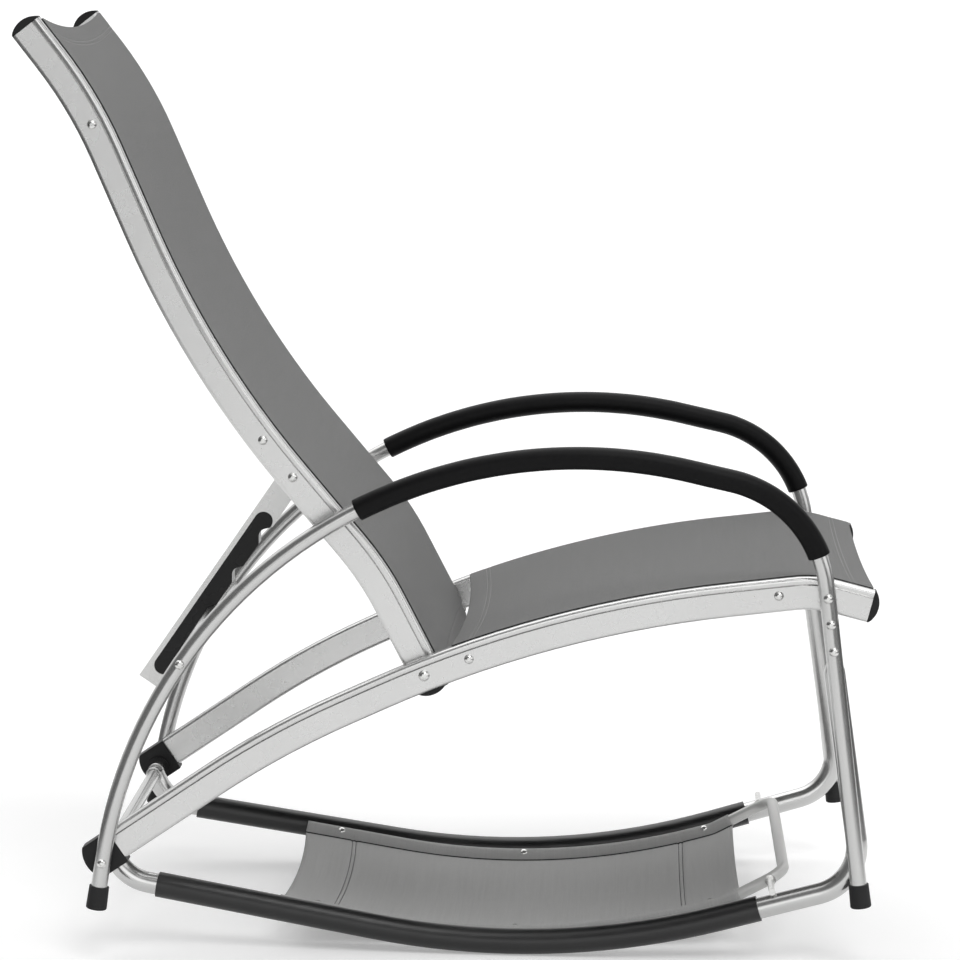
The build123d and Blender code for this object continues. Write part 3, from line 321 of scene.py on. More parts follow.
# ---- slings ----
class Sling:
    """A sheet stretched between two curved bars: says where each point of the cloth lies."""

    def __init__(self, line, side, inner_y, ends, curves, sag, level=SLING_LEVEL):
        self.line = line
        self.side = side
        self.inner_y = inner_y
        self.start, self.end = ends
        self.start_curve, self.end_curve = curves
        self.sag = sag
        self.level = level

    def bulge(self, across):
        """1 at mid-width, 0 from the bars' inner sides outwards."""
        return max(0.0, 1 - (across / self.inner_y) ** 2)

    def edge(self, at_end, across, inset=0.0):
        """Where a free edge, or a line inset from it, is along the bars at a place across."""
        if at_end:
            return self.end - self.end_curve * self.bulge(across) - inset
        return self.start + self.start_curve * self.bulge(across) + inset

    def thread(self, distance, across):
        """Where a thread of the cloth at a distance from the start runs along the bars."""
        length = self.end - self.start
        share = distance / length
        low = self.edge(False, across, distance)
        high = self.edge(True, across, length - distance)
        return low * (1 - share) + high * share

    def place(self, along, across, lift=0.0):
        """A point of the cloth; lift raises it towards the sitter."""
        point, heading = self.line.at(along)
        level = self.level - self.sag * self.bulge(across) + lift
        spot = point + Vector((-heading.y, heading.x)) * (self.side * level)
        return Vector((spot.x, across, spot.y))

    def stitch_at(self, along, across, lift):
        """Place, direction across and direction out of the cloth, for a stitch."""
        step = 0.001
        here = self.place(along, across, lift)
        forward = self.place(along + step, across, lift) - here
        sideways = (self.place(along, across + step, lift) - here).normalized()
        out = forward.cross(sideways).normalized() * -self.side
        return here, sideways, out


def spread(low, high, count):
    """Evenly spaced values from low to high."""
    return [low + (high - low) * step / (count - 1) for step in range(count)]


def hem_seams():
    """Distances of a hem's two seams from its free edge."""
    cloth = bpy.context.scene.chair_cloth
    return cloth.seam_from_edge, cloth.seam_from_edge + cloth.seam_gap


def seam_dip(distance, seams, depth, reach):
    """How the seams pull the cloth down at a distance along it: 0 or less."""
    return -sum(depth * max(0.0, 1 - abs(distance - seam) / reach) for seam in seams)


def across_the_sling(sling, slit_y):
    """(across, lift) pairs from slit to slit: in the slit, round the bend and over the rails."""
    flat = spread(0.0, sling.inner_y, SLING_POINTS)
    flat += spread(sling.inner_y, slit_y - SLIT_BEND, 4)[1:]
    bend = [(slit_y - SLIT_BEND * (1 - sin(turn)), -SLIT_BEND * (1 - cos(turn)))
            for turn in spread(0, pi / 2, 5)[1:]]
    half = [(across, 0.0) for across in flat] + bend + [(slit_y, -SLIT_DEPTH)]
    return mirrored(half)


def mirrored(half):
    """A section's points from one side to the other, from its half that starts at the middle."""
    return [(-across, lift) for across, lift in reversed(half[1:])] + half


def sling_sheet(sling, slit_y, hems):
    """Rows and marks of a sling's sheet; hems says whether its start and its end are sewn."""
    length = sling.end - sling.start
    distances = HEM_ROWS + spread(SLING_ROWS_START, length - SLING_ROWS_START, SLING_ROWS)
    distances += [length - inset for inset in reversed(HEM_ROWS)]
    section = across_the_sling(sling, slit_y)
    rows = []
    for distance in distances:
        dips = [seam_dip(inset, hem_seams(), SEAM_DIP, SEAM_DIP_REACH)
                for inset in (distance, length - distance)]
        dip = dips[0] * hems[0] + dips[1] * hems[1]
        rows.append([sling.place(sling.thread(distance, across), across, lift + dip)
                     for across, lift in section])
    return rows, [[(distance, across) for across, _ in section] for distance in distances]


def hem_strip(sling, at_end):
    """The turned-under strip of a free edge, between the rails."""
    depth = bpy.context.scene.chair_cloth.hem_depth
    width = sling.inner_y - HEM_SIDE_MARGIN
    steps = [(-0.5 * HEM_GAP * sin(turn), -0.5 * HEM_GAP * (1 - cos(turn)))
             for turn in spread(0, pi, 6)]
    steps += [(inset, -HEM_GAP) for inset in spread(HEM_FOLD, depth, 8)]
    places = spread(-width, width, HEM_POINTS)
    rows = [[sling.place(sling.edge(at_end, across, inset), across, lift) for across in places]
            for inset, lift in steps]
    return rows, [[(inset, across) for across in places] for inset, _ in steps]


def hem_stitches(sling, at_end):
    """Stitch places along the double seam of a sling's free edge."""
    pitch = bpy.context.scene.chair_cloth.stitch_pitch
    width = sling.inner_y - SEAM_SIDE_MARGIN
    lift = 0.5 * SLING_THICKNESS - STITCH_SINK
    return [sling.stitch_at(sling.edge(at_end, across, seam), across, lift)
            for seam in hem_seams() for across in spread(-width, width, int(2 * width / pitch))]


# ---- small helpers ----
def deselect_all():
    for thing in bpy.context.selected_objects:
        thing.select_set(False)
    bpy.context.view_layer.objects.active = None


def make_active(thing):
    deselect_all()
    thing.select_set(True)
    bpy.context.view_layer.objects.active = thing


def apply_modifiers(thing):
    make_active(thing)
    for modifier in list(thing.modifiers):
        bpy.ops.object.modifier_apply(modifier=modifier.name)


def settle(thing):
    """Put an object's place, turn and scale into its mesh."""
    make_active(thing)
    bpy.ops.object.transform_apply(location=True, rotation=True, scale=True)


def linked(name, data):
    """A new object in the scene that shows a mesh, a lamp or a camera."""
    thing = bpy.data.objects.new(name, data)
    bpy.context.scene.collection.objects.link(thing)
    return thing


def sheet_faces(work, layer, rows, marks):
    """Add a grid of smooth faces to a bmesh from rows of points and their UV marks in metres."""
    grid = [[work.verts.new(point) for point in row] for row in rows]
    for i in range(len(rows) - 1):
        for j in range(len(rows[0]) - 1):
            corners = [(i, j), (i + 1, j), (i + 1, j + 1), (i, j + 1)]
            face = work.faces.new([grid[a][b] for a, b in corners])
            face.smooth = True
            for loop, (a, b) in zip(face.loops, corners):
                loop[layer].uv = marks[a][b]


def cloth_from(name, sheets):
    """One piece of cloth from (rows, marks) grids, thickened both ways."""
    mesh = bpy.data.meshes.new(name)
    work = bmesh.new()
    layer = work.loops.layers.uv.new("cloth")
    for rows, marks in sheets:
        sheet_faces(work, layer, rows, marks)
    work.to_mesh(mesh)
    work.free()
    cloth = linked(name, mesh)
    solidify = cloth.modifiers.new("thickness", "SOLIDIFY")
    solidify.thickness = SLING_THICKNESS
    solidify.offset = 0.0
    solidify.use_even_offset = True
    apply_modifiers(cloth)
    return cloth


def dress(thing, body, finish):
    """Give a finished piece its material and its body."""
    thing.data.materials.clear()
    thing.data.materials.append(finishes()[finish])
    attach(thing, body)
    return thing


def darken_faces(sheet, finish, chosen):
    """Give the chosen faces of a sheet a second, darker material, which paints shade onto them."""
    sheet.data.materials.append(finishes()[finish])
    for face in sheet.data.polygons:
        if chosen(face):
            face.material_index = 1


def paint_slit_shade(sheet, slit_y):
    """Painted shade in the slits: the sling's faces where it turns down into them get the black
    plastic.
    """
    start = slit_y - SLIT_SHADE_WIDTH
    darken_faces(sheet, "plastic", lambda face: abs(face.center.y) > start)


def both(name):
    return [name + "_right", name + "_left"]


# ---- finishes ----
class NodeMaker:
    """Adds nodes to a tree; each input is a value or another node's output."""

    def __init__(self, tree):
        self.tree = tree

    def add(self, kind, inputs=None, **settings):
        node = self.tree.nodes.new("ShaderNode" + kind)
        for name, value in settings.items():
            setattr(node, name, value)
        for key, value in (inputs or {}).items():
            if isinstance(value, bpy.types.NodeSocket):
                self.tree.links.new(value, node.inputs[key])
            else:
                node.inputs[key].default_value = value
        return node

    def math(self, operation, *values):
        return self.add("Math", dict(enumerate(values)), operation=operation).outputs[0]

    def seen_rays(self):
        """1 for rays from the eye, in gloss and through clear things, 0 for light on the object."""
        rays = self.add("LightPath").outputs
        seen = rays["Is Camera Ray"]
        for kind in ("Is Glossy Ray", "Is Transmission Ray"):
            seen = self.math("MAXIMUM", seen, rays[kind])
        return seen


class Finish(NodeMaker):
    """A material and its node tree, built a node at a time."""

    def __init__(self, name, colour, metallic=0.0, roughness=0.5):
        self.material = bpy.data.materials.new(name)
        self.material.use_nodes = True
        super().__init__(self.material.node_tree)
        self.shader = self.tree.nodes["Principled BSDF"]
        self.colour = colour
        self.set("Base Color", (*colour, 1.0))
        self.set("Metallic", metallic)
        self.set("Roughness", roughness)

    def set(self, socket, value):
        self.shader.inputs[socket].default_value = value

    def link(self, output, socket):
        self.tree.links.new(output, self.shader.inputs[socket])

    def place(self, scale=(1.0, 1.0, 1.0)):
        """Object coordinates, stretched."""
        source = self.add("TexCoord").outputs["Object"]
        return self.add("Mapping", {"Vector": source, "Scale": scale}).outputs[0]

    def noise(self, scale, detail=2.0, vector=None):
        """Soft unevenness with features about 1 / scale metres wide."""
        source = vector if vector is not None else self.place()
        inputs = {"Vector": source, "Scale": scale, "Detail": detail}
        return self.add("TexNoise", inputs).outputs[0]

    def ranged(self, value, low, high):
        """A value from 0 to 1 spread from low to high."""
        return self.add("MapRange", {"Value": value, "To Min": low, "To Max": high}).outputs[0]

    def shades(self, share, first, second):
        """The colour goes from a first to a second as a share goes from 0 to 1."""
        inputs = {"Fac": share, "Color1": (*first, 1.0), "Color2": (*second, 1.0)}
        self.link(self.add("MixRGB", inputs).outputs[0], "Base Color")

    def clouded(self, share, low, high):
        """The finish's own colour, made a little darker and paler by a share."""
        self.shades(share, scaled(self.colour, low), scaled(self.colour, high))

    def rough(self, share, low, high):
        """The roughness goes from low to high as a share goes from 0 to 1."""
        self.link(self.ranged(share, low, high), "Roughness")

    def bump(self, height, depth, strength=1.0, under=None):
        """The surface raised by a height, over the relief under it, if there is one."""
        inputs = {"Height": height, "Distance": depth, "Strength": strength}
        if under is not None:
            inputs["Normal"] = under
        relief = self.add("Bump", inputs).outputs[0]
        self.link(relief, "Normal")
        return relief


def scaled(colour, share):
    return tuple(min(1.0, channel * share) for channel in colour)


def silver_coat(name, colour, metallic, roughness, grain):
    """A satin metallic coat with a fine orange peel and faint handling marks."""
    coat = Finish(name, colour, metallic, roughness)
    coat.clouded(coat.noise(9.0, 3.0), 0.965, 1.03)
    marks = coat.noise(60.0, 2.0, coat.place((1.0, 4.0, 1.0)))
    coat.rough(marks, roughness - 0.03, roughness + 0.03)
    peel = coat.bump(coat.noise(900.0, 2.0), grain, 0.12)
    coat.bump(coat.noise(22.0, 1.0), grain * 2, 0.05, peel)
    return coat.material


def foam_skin(name, colour):
    """Closed-cell foam: matt, with fine pores and slow swellings."""
    foam = Finish(name, colour, 0.0, 0.40)
    foam.set("Specular IOR Level", 0.11)
    cells = foam.add("TexVoronoi", {"Vector": foam.place(), "Scale": 1400.0}).outputs["Distance"]
    swell = foam.noise(120.0, 3.0)
    foam.clouded(swell, 0.8, 1.5)
    foam.rough(foam.noise(35.0), 0.32, 0.48)
    pores = foam.bump(cells, 0.00025, 0.4)
    foam.bump(swell, 0.0006, 0.3, pores)
    return foam.material


def sleeve_skin(name, colour):
    """A tight extruded sleeve: smooth black with a soft shine and a faint drag along it."""
    sleeve = Finish(name, colour, 0.0, 0.40)
    sleeve.set("Specular IOR Level", 0.55)
    streaks = sleeve.noise(60.0, 3.0, sleeve.place((0.15, 6.0, 6.0)))
    sleeve.rough(streaks, 0.28, 0.42)
    sleeve.clouded(streaks, 0.85, 1.4)
    grain = sleeve.bump(sleeve.noise(1100.0, 2.0), 0.0002, 0.5)
    sleeve.bump(streaks, 0.0006, 0.3, grain)
    return sleeve.material


def moulded(name, colour, roughness, grain):
    """Injection-moulded plastic or rubber with a fine spark texture."""
    plastic = Finish(name, colour, 0.0, roughness)
    plastic.set("Specular IOR Level", 0.25)
    flow = plastic.noise(28.0, 2.0)
    plastic.rough(flow, roughness - 0.07, roughness + 0.09)
    plastic.clouded(flow, 0.8, 1.35)
    plastic.bump(plastic.noise(1600.0, 2.0), grain, 0.6)
    return plastic.material


def plated(name, colour):
    """Bright zinc plate with faint turning marks."""
    plate = Finish(name, colour, 1.0, 0.24)
    marks = plate.noise(320.0, 3.0)
    plate.rough(marks, 0.17, 0.34)
    plate.clouded(marks, 0.9, 1.08)
    plate.bump(marks, 0.00008, 0.4)
    return plate.material


def woven(name, light, dark, pitch, level):
    """Coated mesh cloth in a plain weave, drawn on the cloth's own UV map; the yarns' crowns are
    paler and the hollows and gaps between them are painted dark as shade.
    """
    cloth = Finish(name, light, 0.0, 0.72)
    cloth.set("Sheen Weight", 0.12)
    cloth.set("Sheen Roughness", 0.45)
    cloth.set("Specular IOR Level", 0.35)
    uv = cloth.add("UVMap", uv_map="cloth").outputs["UV"]
    yarns = cloth.add("VectorMath", {0: uv, "Scale": 1.0 / pitch}, operation="SCALE").outputs[0]
    axes = cloth.add("SeparateXYZ", {0: yarns}).outputs[:2]
    warp, weft = [cloth.math("SINE", cloth.math("MULTIPLY", cloth.math("FRACT", axis), pi))
                  for axis in axes]
    counted = cloth.math("ADD", *[cloth.math("FLOOR", axis) for axis in axes])
    warp_over = cloth.math("FLOORED_MODULO", counted, 2.0)
    weft_over = cloth.math("SUBTRACT", 1.0, warp_over)
    crowns = []
    for yarn, crossed, over in ((warp, weft, warp_over), (weft, warp, weft_over)):
        crown = cloth.math("MULTIPLY", yarn, cloth.math("MULTIPLY_ADD", crossed, 0.45, 0.55))
        crowns.append(cloth.math("MULTIPLY", crown, over))
    height = cloth.math("ADD", *crowns)
    tones = []
    for stretch, low, high in (((420.0, 5.0, 1.0), 0.72, 1.28), ((6.0, 300.0, 1.0), 0.86, 1.14)):
        threads = cloth.add("Mapping", {"Vector": uv, "Scale": stretch}).outputs[0]
        tones.append(cloth.ranged(cloth.noise(1.0, 3.0, threads), low, high))
    # painted shade: the colour follows the yarns' height, dark in the hollows, times a random tone
    # of the threads
    tone = cloth.math("MULTIPLY", height, cloth.math("MULTIPLY", *tones))
    # level scales the whole weave; the footrest's copy uses it to paint the same cloth paler, as
    # light
    cloth.shades(tone, scaled(dark, level), scaled(light, level))
    clouds = cloth.bump(cloth.noise(14.0, 2.0), 0.0012, 0.35)
    cloth.bump(height, pitch * 0.28, 0.85, clouds)
    return cloth.material


made_finishes = {}


def finishes():
    """The chair's materials by name, made once."""
    if made_finishes:
        return made_finishes
    colours = {name: tuple(getattr(bpy.context.scene.chair_colours, name))
               for name in ChairColours.__annotations__}
    pitch = bpy.context.scene.chair_cloth.weave_pitch
    plastic, foam, dark = colours["plastic"], colours["foam"], colours["cloth_dark"]
    made_finishes.update({
        "rail": silver_coat("satin_rail", colours["rail"], 0.90, 0.27, 0.00006),
        "tube": silver_coat("silver_tube", colours["tube"], 0.90, 0.22, 0.00005),
        "foot_tube": silver_coat("matt_tube", colours["foot_tube"], 0.35, 0.48, 0.00008),
        "seat_cloth": woven("seat_cloth", colours["cloth"], dark, pitch, 0.80),
        "back_cloth": woven("back_cloth", colours["cloth"], dark, pitch, 0.80),
        # painted light: the footrest has the same cloth as the seat, made paler with level 2.35
        # against 0.80
        "foot_cloth": woven("foot_cloth", colours["cloth"], dark, pitch, 2.35),
        "foam": foam_skin("grip_foam", foam),
        "sleeve": sleeve_skin("runner_sleeve", foam),
        "plastic": moulded("black_plastic", plastic, 0.46, 0.00012),
        "gloss_plastic": moulded("gloss_plastic", plastic, 0.26, 0.00005),
        "foot_rubber": moulded("foot_rubber", scaled(plastic, 2.0), 0.62, 0.0002),
        "steel": plated("zinc_plate", colours["steel"]),
        "thread": moulded("sewing_thread", colours["thread"], 0.7, 0.0001),
        # this dark thread's material also paints shade into the footrest's side seam steps
        "dark_thread": moulded("dark_thread", scaled(dark, 0.3), 0.7, 0.0001),
    })
    return made_finishes


# ---- sewing ----
def stitch_shape():
    """One short stitch lying along X, as points and faces."""
    deselect_all()
    bpy.ops.mesh.primitive_uv_sphere_add(
        segments=6, ring_count=4, radius=1.0, rotation=(0, pi / 2, 0))
    stitch = bpy.context.active_object
    settle(stitch)
    points = [vertex.co.copy() for vertex in stitch.data.vertices]
    faces = [tuple(face.vertices) for face in stitch.data.polygons]
    bpy.data.objects.remove(stitch, do_unlink=True)
    return points, faces


def sew(name, places):
    """Copies of the stitch at (point, direction, out) places, as one piece."""
    cloth = bpy.context.scene.chair_cloth
    shape, shape_faces = stitch_shape()
    radius = cloth.thread_radius
    size = Vector((STITCH_HALF_LENGTH * cloth.stitch_pitch, radius, STITCH_FLATNESS * radius))
    stitch = [Vector([part * scale for part, scale in zip(point, size)]) for point in shape]
    points = []
    faces = []
    for point, direction, out in places:
        side = out.cross(direction).normalized()
        turn = Matrix((direction, side, out)).transposed()
        first = len(points)
        points.extend(point + turn @ corner for corner in stitch)
        faces.extend(tuple(first + corner for corner in face) for face in shape_faces)
    mesh = bpy.data.meshes.new(name)
    mesh.from_pydata(points, [], faces)
    mesh.shade_smooth()
    return linked(name, mesh)


class CHAIR_OT_seat_sling(bpy.types.Operator):
    """Make the seat's sling with its turned hems and double seams"""

    bl_idname = "chair.seat_sling"
    bl_label = "Seat sling"

    def execute(self, context):
        cloth = context.scene.chair_cloth
        end = seat_line.length - SEAT_FRONT_MARGIN
        sling = Sling(seat_line, 1, SEAT_RAIL_IN, (SEAT_REAR_ALONG, end),
                      (cloth.seat_rear_curve, 0.0), cloth.seat_sag)
        parts = [sling_sheet(sling, SEAT_SLIT_Y, (1, 1)), hem_strip(sling, False),
                 hem_strip(sling, True)]
        sheet = dress(cloth_from("seat_cloth", parts), "frame", "seat_cloth")
        # the seat's cloth is painted black as shade where it turns down into the slits
        paint_slit_shade(sheet, SEAT_SLIT_Y)
        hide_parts("seat_sling")
        thread = sew("seat_thread", hem_stitches(sling, False) + hem_stitches(sling, True))
        dress(thread, "frame", "thread")
        return {"FINISHED"}


class CHAIR_OT_backrest_sling(bpy.types.Operator):
    """Make the backrest's sling, hemmed at the top and rolled under at the bottom"""

    bl_idname = "chair.backrest_sling"
    bl_label = "Backrest sling"

    def execute(self, context):
        cloth = context.scene.chair_cloth
        end = back_line.length - BACK_TOP_MARGIN
        sling = Sling(back_line, -1, BACK_RAIL_IN, (BACK_BOTTOM_ALONG, end),
                      (0.0, cloth.back_top_curve), cloth.back_sag)
        parts = [sling_sheet(sling, BACK_SLIT_Y, (0, 1)), hem_strip(sling, True), self.roll(sling)]
        sheet = cloth_from("backrest_cloth", parts)
        dress(sheet, "backrest", "back_cloth")
        # the backrest's cloth is painted black as shade where it turns down into the slits
        paint_slit_shade(sheet, BACK_SLIT_Y)
        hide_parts("backrest_sling")
        thread = sew("backrest_thread", hem_stitches(sling, True))
        dress(thread, "backrest", "thread")
        return {"FINISHED"}

    def roll(self, sling):
        """The lower edge between the rails, carried round to the rear and under."""
        heading = sling.line.at(sling.start)[1]
        down = Vector((-heading.x, 0, -heading.y))
        rear = Vector((-heading.y, 0, heading.x)) * -sling.side
        steps = [(down * drop, -drop) for drop in spread(0, BACK_ROLL_DROP, 3)]
        for turn in spread(0, BACK_ROLL_TURN, 24)[1:]:
            round_it = down * sin(turn) + rear * (1 - cos(turn))
            shift = down * BACK_ROLL_DROP + round_it * BACK_ROLL_RADIUS
            steps.append((shift, -BACK_ROLL_DROP - BACK_ROLL_RADIUS * turn))
        places = spread(-BACK_ROLL_HALF_WIDTH, BACK_ROLL_HALF_WIDTH, HEM_POINTS)
        rows = [[sling.place(sling.start, across) + shift for across in places]
                for shift, _ in steps]
        return rows, [[(length, across) for across in places] for _, length in steps]


# ---- footrest ----
def foot_section():
    """Half of the cloth's section as (y, z) points: from the middle over the leg to the seam."""
    reach = FOOT_LEG_Y - FOOT_SEAM_Y
    towards_seam = pi + atan2(FOOT_SEAM_DROP, reach)
    tangent = acos(FOOT_WRAP_RADIUS / hypot(reach, FOOT_SEAM_DROP))
    points = [(y, -FOOT_SEAM_DROP) for y in spread(0.0, FOOT_SEAM_Y - FOOT_FLAT_MARGIN, 24)]
    points.append((FOOT_SEAM_Y - FOOT_STEP_RUN, -FOOT_SEAM_DROP))
    points.append((FOOT_SEAM_Y, -FOOT_SEAM_DROP + FOOT_SEAM_STEP))
    for angle in spread(towards_seam - tangent, towards_seam + tangent - 2 * pi, 25):
        points.append((FOOT_LEG_Y + FOOT_WRAP_RADIUS * cos(angle), FOOT_WRAP_RADIUS * sin(angle)))
    under = -FOOT_SEAM_DROP - FOOT_LAP_GAP
    points.append((FOOT_SEAM_Y + FOOT_LAP_OUT, under))
    points.append((FOOT_SEAM_Y - FOOT_LAP, under))
    return points


def foot_along(x):
    """Length along the footrest at a side-view place drawn from the chair's middle."""
    target = x + TO_FRAME.x
    low, high = 0.0, foot_line.length
    for _ in range(HALVINGS):
        half = (low + high) / 2
        if foot_line.at(half)[0].x < target:
            low = half
        else:
            high = half
    return low


class CHAIR_OT_footrest_sling(bpy.types.Operator):
    """Make the footrest's cloth, wrapped round both legs and sewn back to itself"""

    bl_idname = "chair.footrest_sling"
    bl_label = "Footrest sling"

    def execute(self, context):
        cloth = context.scene.chair_cloth
        curves = (cloth.foot_rear_curve, FOOT_FRONT_CURVE * cloth.foot_rear_curve)
        ends = (0.0, foot_line.length)
        sling = Sling(foot_line, 1, FOOT_SEAM_Y, ends, curves, cloth.foot_sag, level=0.0)
        section = mirrored(foot_section())
        widths = [0.0]
        for (y0, z0), (y1, z1) in zip(section, section[1:]):
            widths.append(widths[-1] + hypot(y1 - y0, z1 - z0))
        seams = [foot_along(x) + row * cloth.seam_gap for x in FOOT_SEAMS_X for row in (0, 1)]
        stations = spread(0.0, foot_line.length, FOOT_ROWS)
        stations += [seam + shift for seam in seams for shift in FOOT_DIP_ROWS]
        stations.sort()
        stations = [station for station, after in zip(stations, stations[1:])
                    if after - station > FOOT_ROW_GAP] + [stations[-1]]
        rows = []
        for station in stations:
            dip = seam_dip(station, seams, FOOT_DIP, FOOT_DIP_REACH)
            rows.append([
                sling.place(sling.thread(station, y), y, z + dip if abs(y) <= FOOT_SEAM_Y else z)
                for y, z in section])
        marks = [[(station, width) for width in widths] for station in stations]
        sheet = cloth_from("footrest_cloth", [(rows, marks)])
        # the footrest's cloth is painted paler than the seat's, as light
        dress(sheet, "footrest", "foot_cloth")
        # painted shade: the steep faces of the step at each side seam get the dark thread's material
        darken_faces(sheet, "dark_thread", self.in_shaded_step)
        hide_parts("footrest_sling")
        thread = sew("footrest_thread", self.stitches(sling, seams))
        dress(thread, "footrest", "dark_thread")
        return {"FINISHED"}

    def in_shaded_step(self, face):
        """Whether a face is in the step where the wrapped edge is sewn down; these faces are painted
        dark as shade.
        """
        beside = abs(abs(face.center.y) - FOOT_SEAM_Y)
        return beside < FOOT_STEP_SHADE_HALF_WIDTH and abs(face.normal.y) > FOOT_STEP_SHADE_STEEP

    def stitches(self, sling, seams):
        """Stitch places of the cross seams and of the two side seams."""
        pitch = bpy.context.scene.chair_cloth.stitch_pitch
        lift = 0.5 * SLING_THICKNESS - FOOT_SEAM_DROP - STITCH_SINK
        width = FOOT_SEAM_Y - FOOT_STITCH_MARGIN
        places = []
        for along in seams:
            out = self.out_at(along)
            for y in spread(-width, width, int(2 * width / pitch)):
                spot = sling.place(sling.thread(along, y), y, lift - FOOT_STITCH_SINK)
                places.append((spot, Vector((0, 1, 0)), out))
        side = FOOT_SEAM_Y - FOOT_SIDE_STITCH_IN
        last = foot_line.length - FOOT_STITCH_MARGIN
        for along in spread(FOOT_STITCH_MARGIN, last, int(foot_line.length / pitch)):
            out = self.out_at(along)
            for y in (side, -side):
                places.append((sling.place(along, y, lift), Vector((out.z, 0, -out.x)), out))
        return places

    def out_at(self, along):
        """The direction out of the footrest's cloth at a length along its legs."""
        heading = foot_line.at(along)[1]
        return Vector((-heading.y, 0, heading.x))


# ---- grips ----
def tube_rings(line, y, profile, segments):
    """Rings of points round a side-view line, one for each (along, radius) of a profile."""
    rings = []
    for along, radius in profile:
        point, heading = line.at(along)
        middle = Vector((point.x, y, point.y))
        across = Vector((-heading.y, 0, heading.x))
        ring = []
        for step in range(segments):
            angle = 2 * pi * step / segments
            offset = across * (radius * cos(angle)) + Vector((0, radius * sin(angle), 0))
            ring.append(middle + offset)
        rings.append(ring)
    return rings


def closed_tube(name, rings):
    """A closed, hollow tube from a loop of rings."""
    work = bmesh.new()
    layer = work.loops.layers.uv.new("skin")
    grid = [[work.verts.new(point) for point in ring] for ring in rings]
    count = len(rings)
    around = len(rings[0])
    for i in range(count):
        for j in range(around):
            corners = [(i, j), (i, j + 1), (i + 1, j + 1), (i + 1, j)]
            face = work.faces.new([grid[a % count][b % around] for a, b in corners])
            face.smooth = True
            for loop, (a, b) in zip(face.loops, corners):
                loop[layer].uv = (a / count, b / around)
    bmesh.ops.recalc_face_normals(work, faces=work.faces)
    mesh = bpy.data.meshes.new(name)
    work.to_mesh(mesh)
    work.free()
    return linked(name, mesh)


class CHAIR_OT_arm_grips(bpy.types.Operator):
    """Make the foam grips on both arms, with softly rounded ends"""

    bl_idname = "chair.arm_grips"
    bl_label = "Arm grips"

    def execute(self, context):
        ends = [(GRIP_ROUNDING * (1 - cos(turn)), GRIP_RADIUS - GRIP_ROUNDING * (1 - sin(turn)))
                for turn in spread(0, pi / 2, 5)]
        first = GRIP_FRONT_ALONG + GRIP_PLAIN_MARGIN
        last = GRIP_REAR_ALONG - GRIP_PLAIN_MARGIN
        profile = [(GRIP_FRONT_ALONG + inset, radius) for inset, radius in ends]
        profile += [(along, GRIP_RADIUS) for along in spread(first, last, GRIP_RINGS)]
        profile += [(GRIP_REAR_ALONG - inset, radius) for inset, radius in reversed(ends)]
        profile += [(along, ARM_TUBE_RADIUS + GRIP_CLEARANCE)
                    for along in spread(GRIP_REAR_ALONG, GRIP_FRONT_ALONG, 60)]
        for side, hand in ((-1, "_right"), (1, "_left")):
            rings = tube_rings(arm_line, side * ARM_Y, profile, GRIP_SEGMENTS)
            grip = closed_tube("grip_foam" + hand, rings)
            for vertex in grip.data.vertices:
                vertex.co -= vertex.normal * self.dent(vertex.co)
            dress(grip, "frame", "foam")
            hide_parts("armrest_grip" + hand)
        return {"FINISHED"}

    def dent(self, point):
        """How far the foam dips at a point; it never grows past its moulded size."""
        return GRIP_DENT * (1 + noise.noise(point * GRIP_DENTS_PER_METRE))


# ---- welds ----
class CHAIR_OT_welds(bpy.types.Operator):
    """Add the weld beads where the runners meet the rear cross tube"""

    bl_idname = "chair.welds"
    bl_label = "Weld beads"

    def execute(self, context):
        low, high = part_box("rear_crossbar")
        centre = (low + high) / 2
        radius = (high.z - low.z) / 2
        seed = context.scene.chair_stage.weld_seed
        beside = RUNNER_RADIUS + WELD_BESIDE
        beads = []
        for side in (-1, 1):
            for offset in (-beside, beside):
                deselect_all()
                bpy.ops.mesh.primitive_torus_add(
                    location=(centre.x, side * RUNNER_REAR_Y + offset, centre.z),
                    rotation=(pi / 2, 0, 0), major_segments=44, minor_segments=8,
                    major_radius=radius + WELD_PROUD, minor_radius=WELD_RADIUS)
                bead = bpy.context.active_object
                bpy.ops.object.mode_set(mode="EDIT")
                bpy.ops.mesh.select_all(action="SELECT")
                bpy.ops.transform.vertex_random(offset=WELD_RIPPLE, seed=seed + len(beads))
                bpy.ops.object.mode_set(mode="OBJECT")
                settle(bead)
                beads.append(bead)
        deselect_all()
        for bead in beads:
            bead.select_set(True)
        bpy.context.view_layer.objects.active = beads[0]
        bpy.ops.object.join()
        weld = bpy.context.active_object
        weld.name = "runner_welds"
        smooth = weld.modifiers.new("smooth", "SUBSURF")
        smooth.levels = 1
        smooth.render_levels = 1
        apply_modifiers(weld)
        weld.data.shade_smooth()
        dress(weld, "frame", "tube")
        return {"FINISHED"}


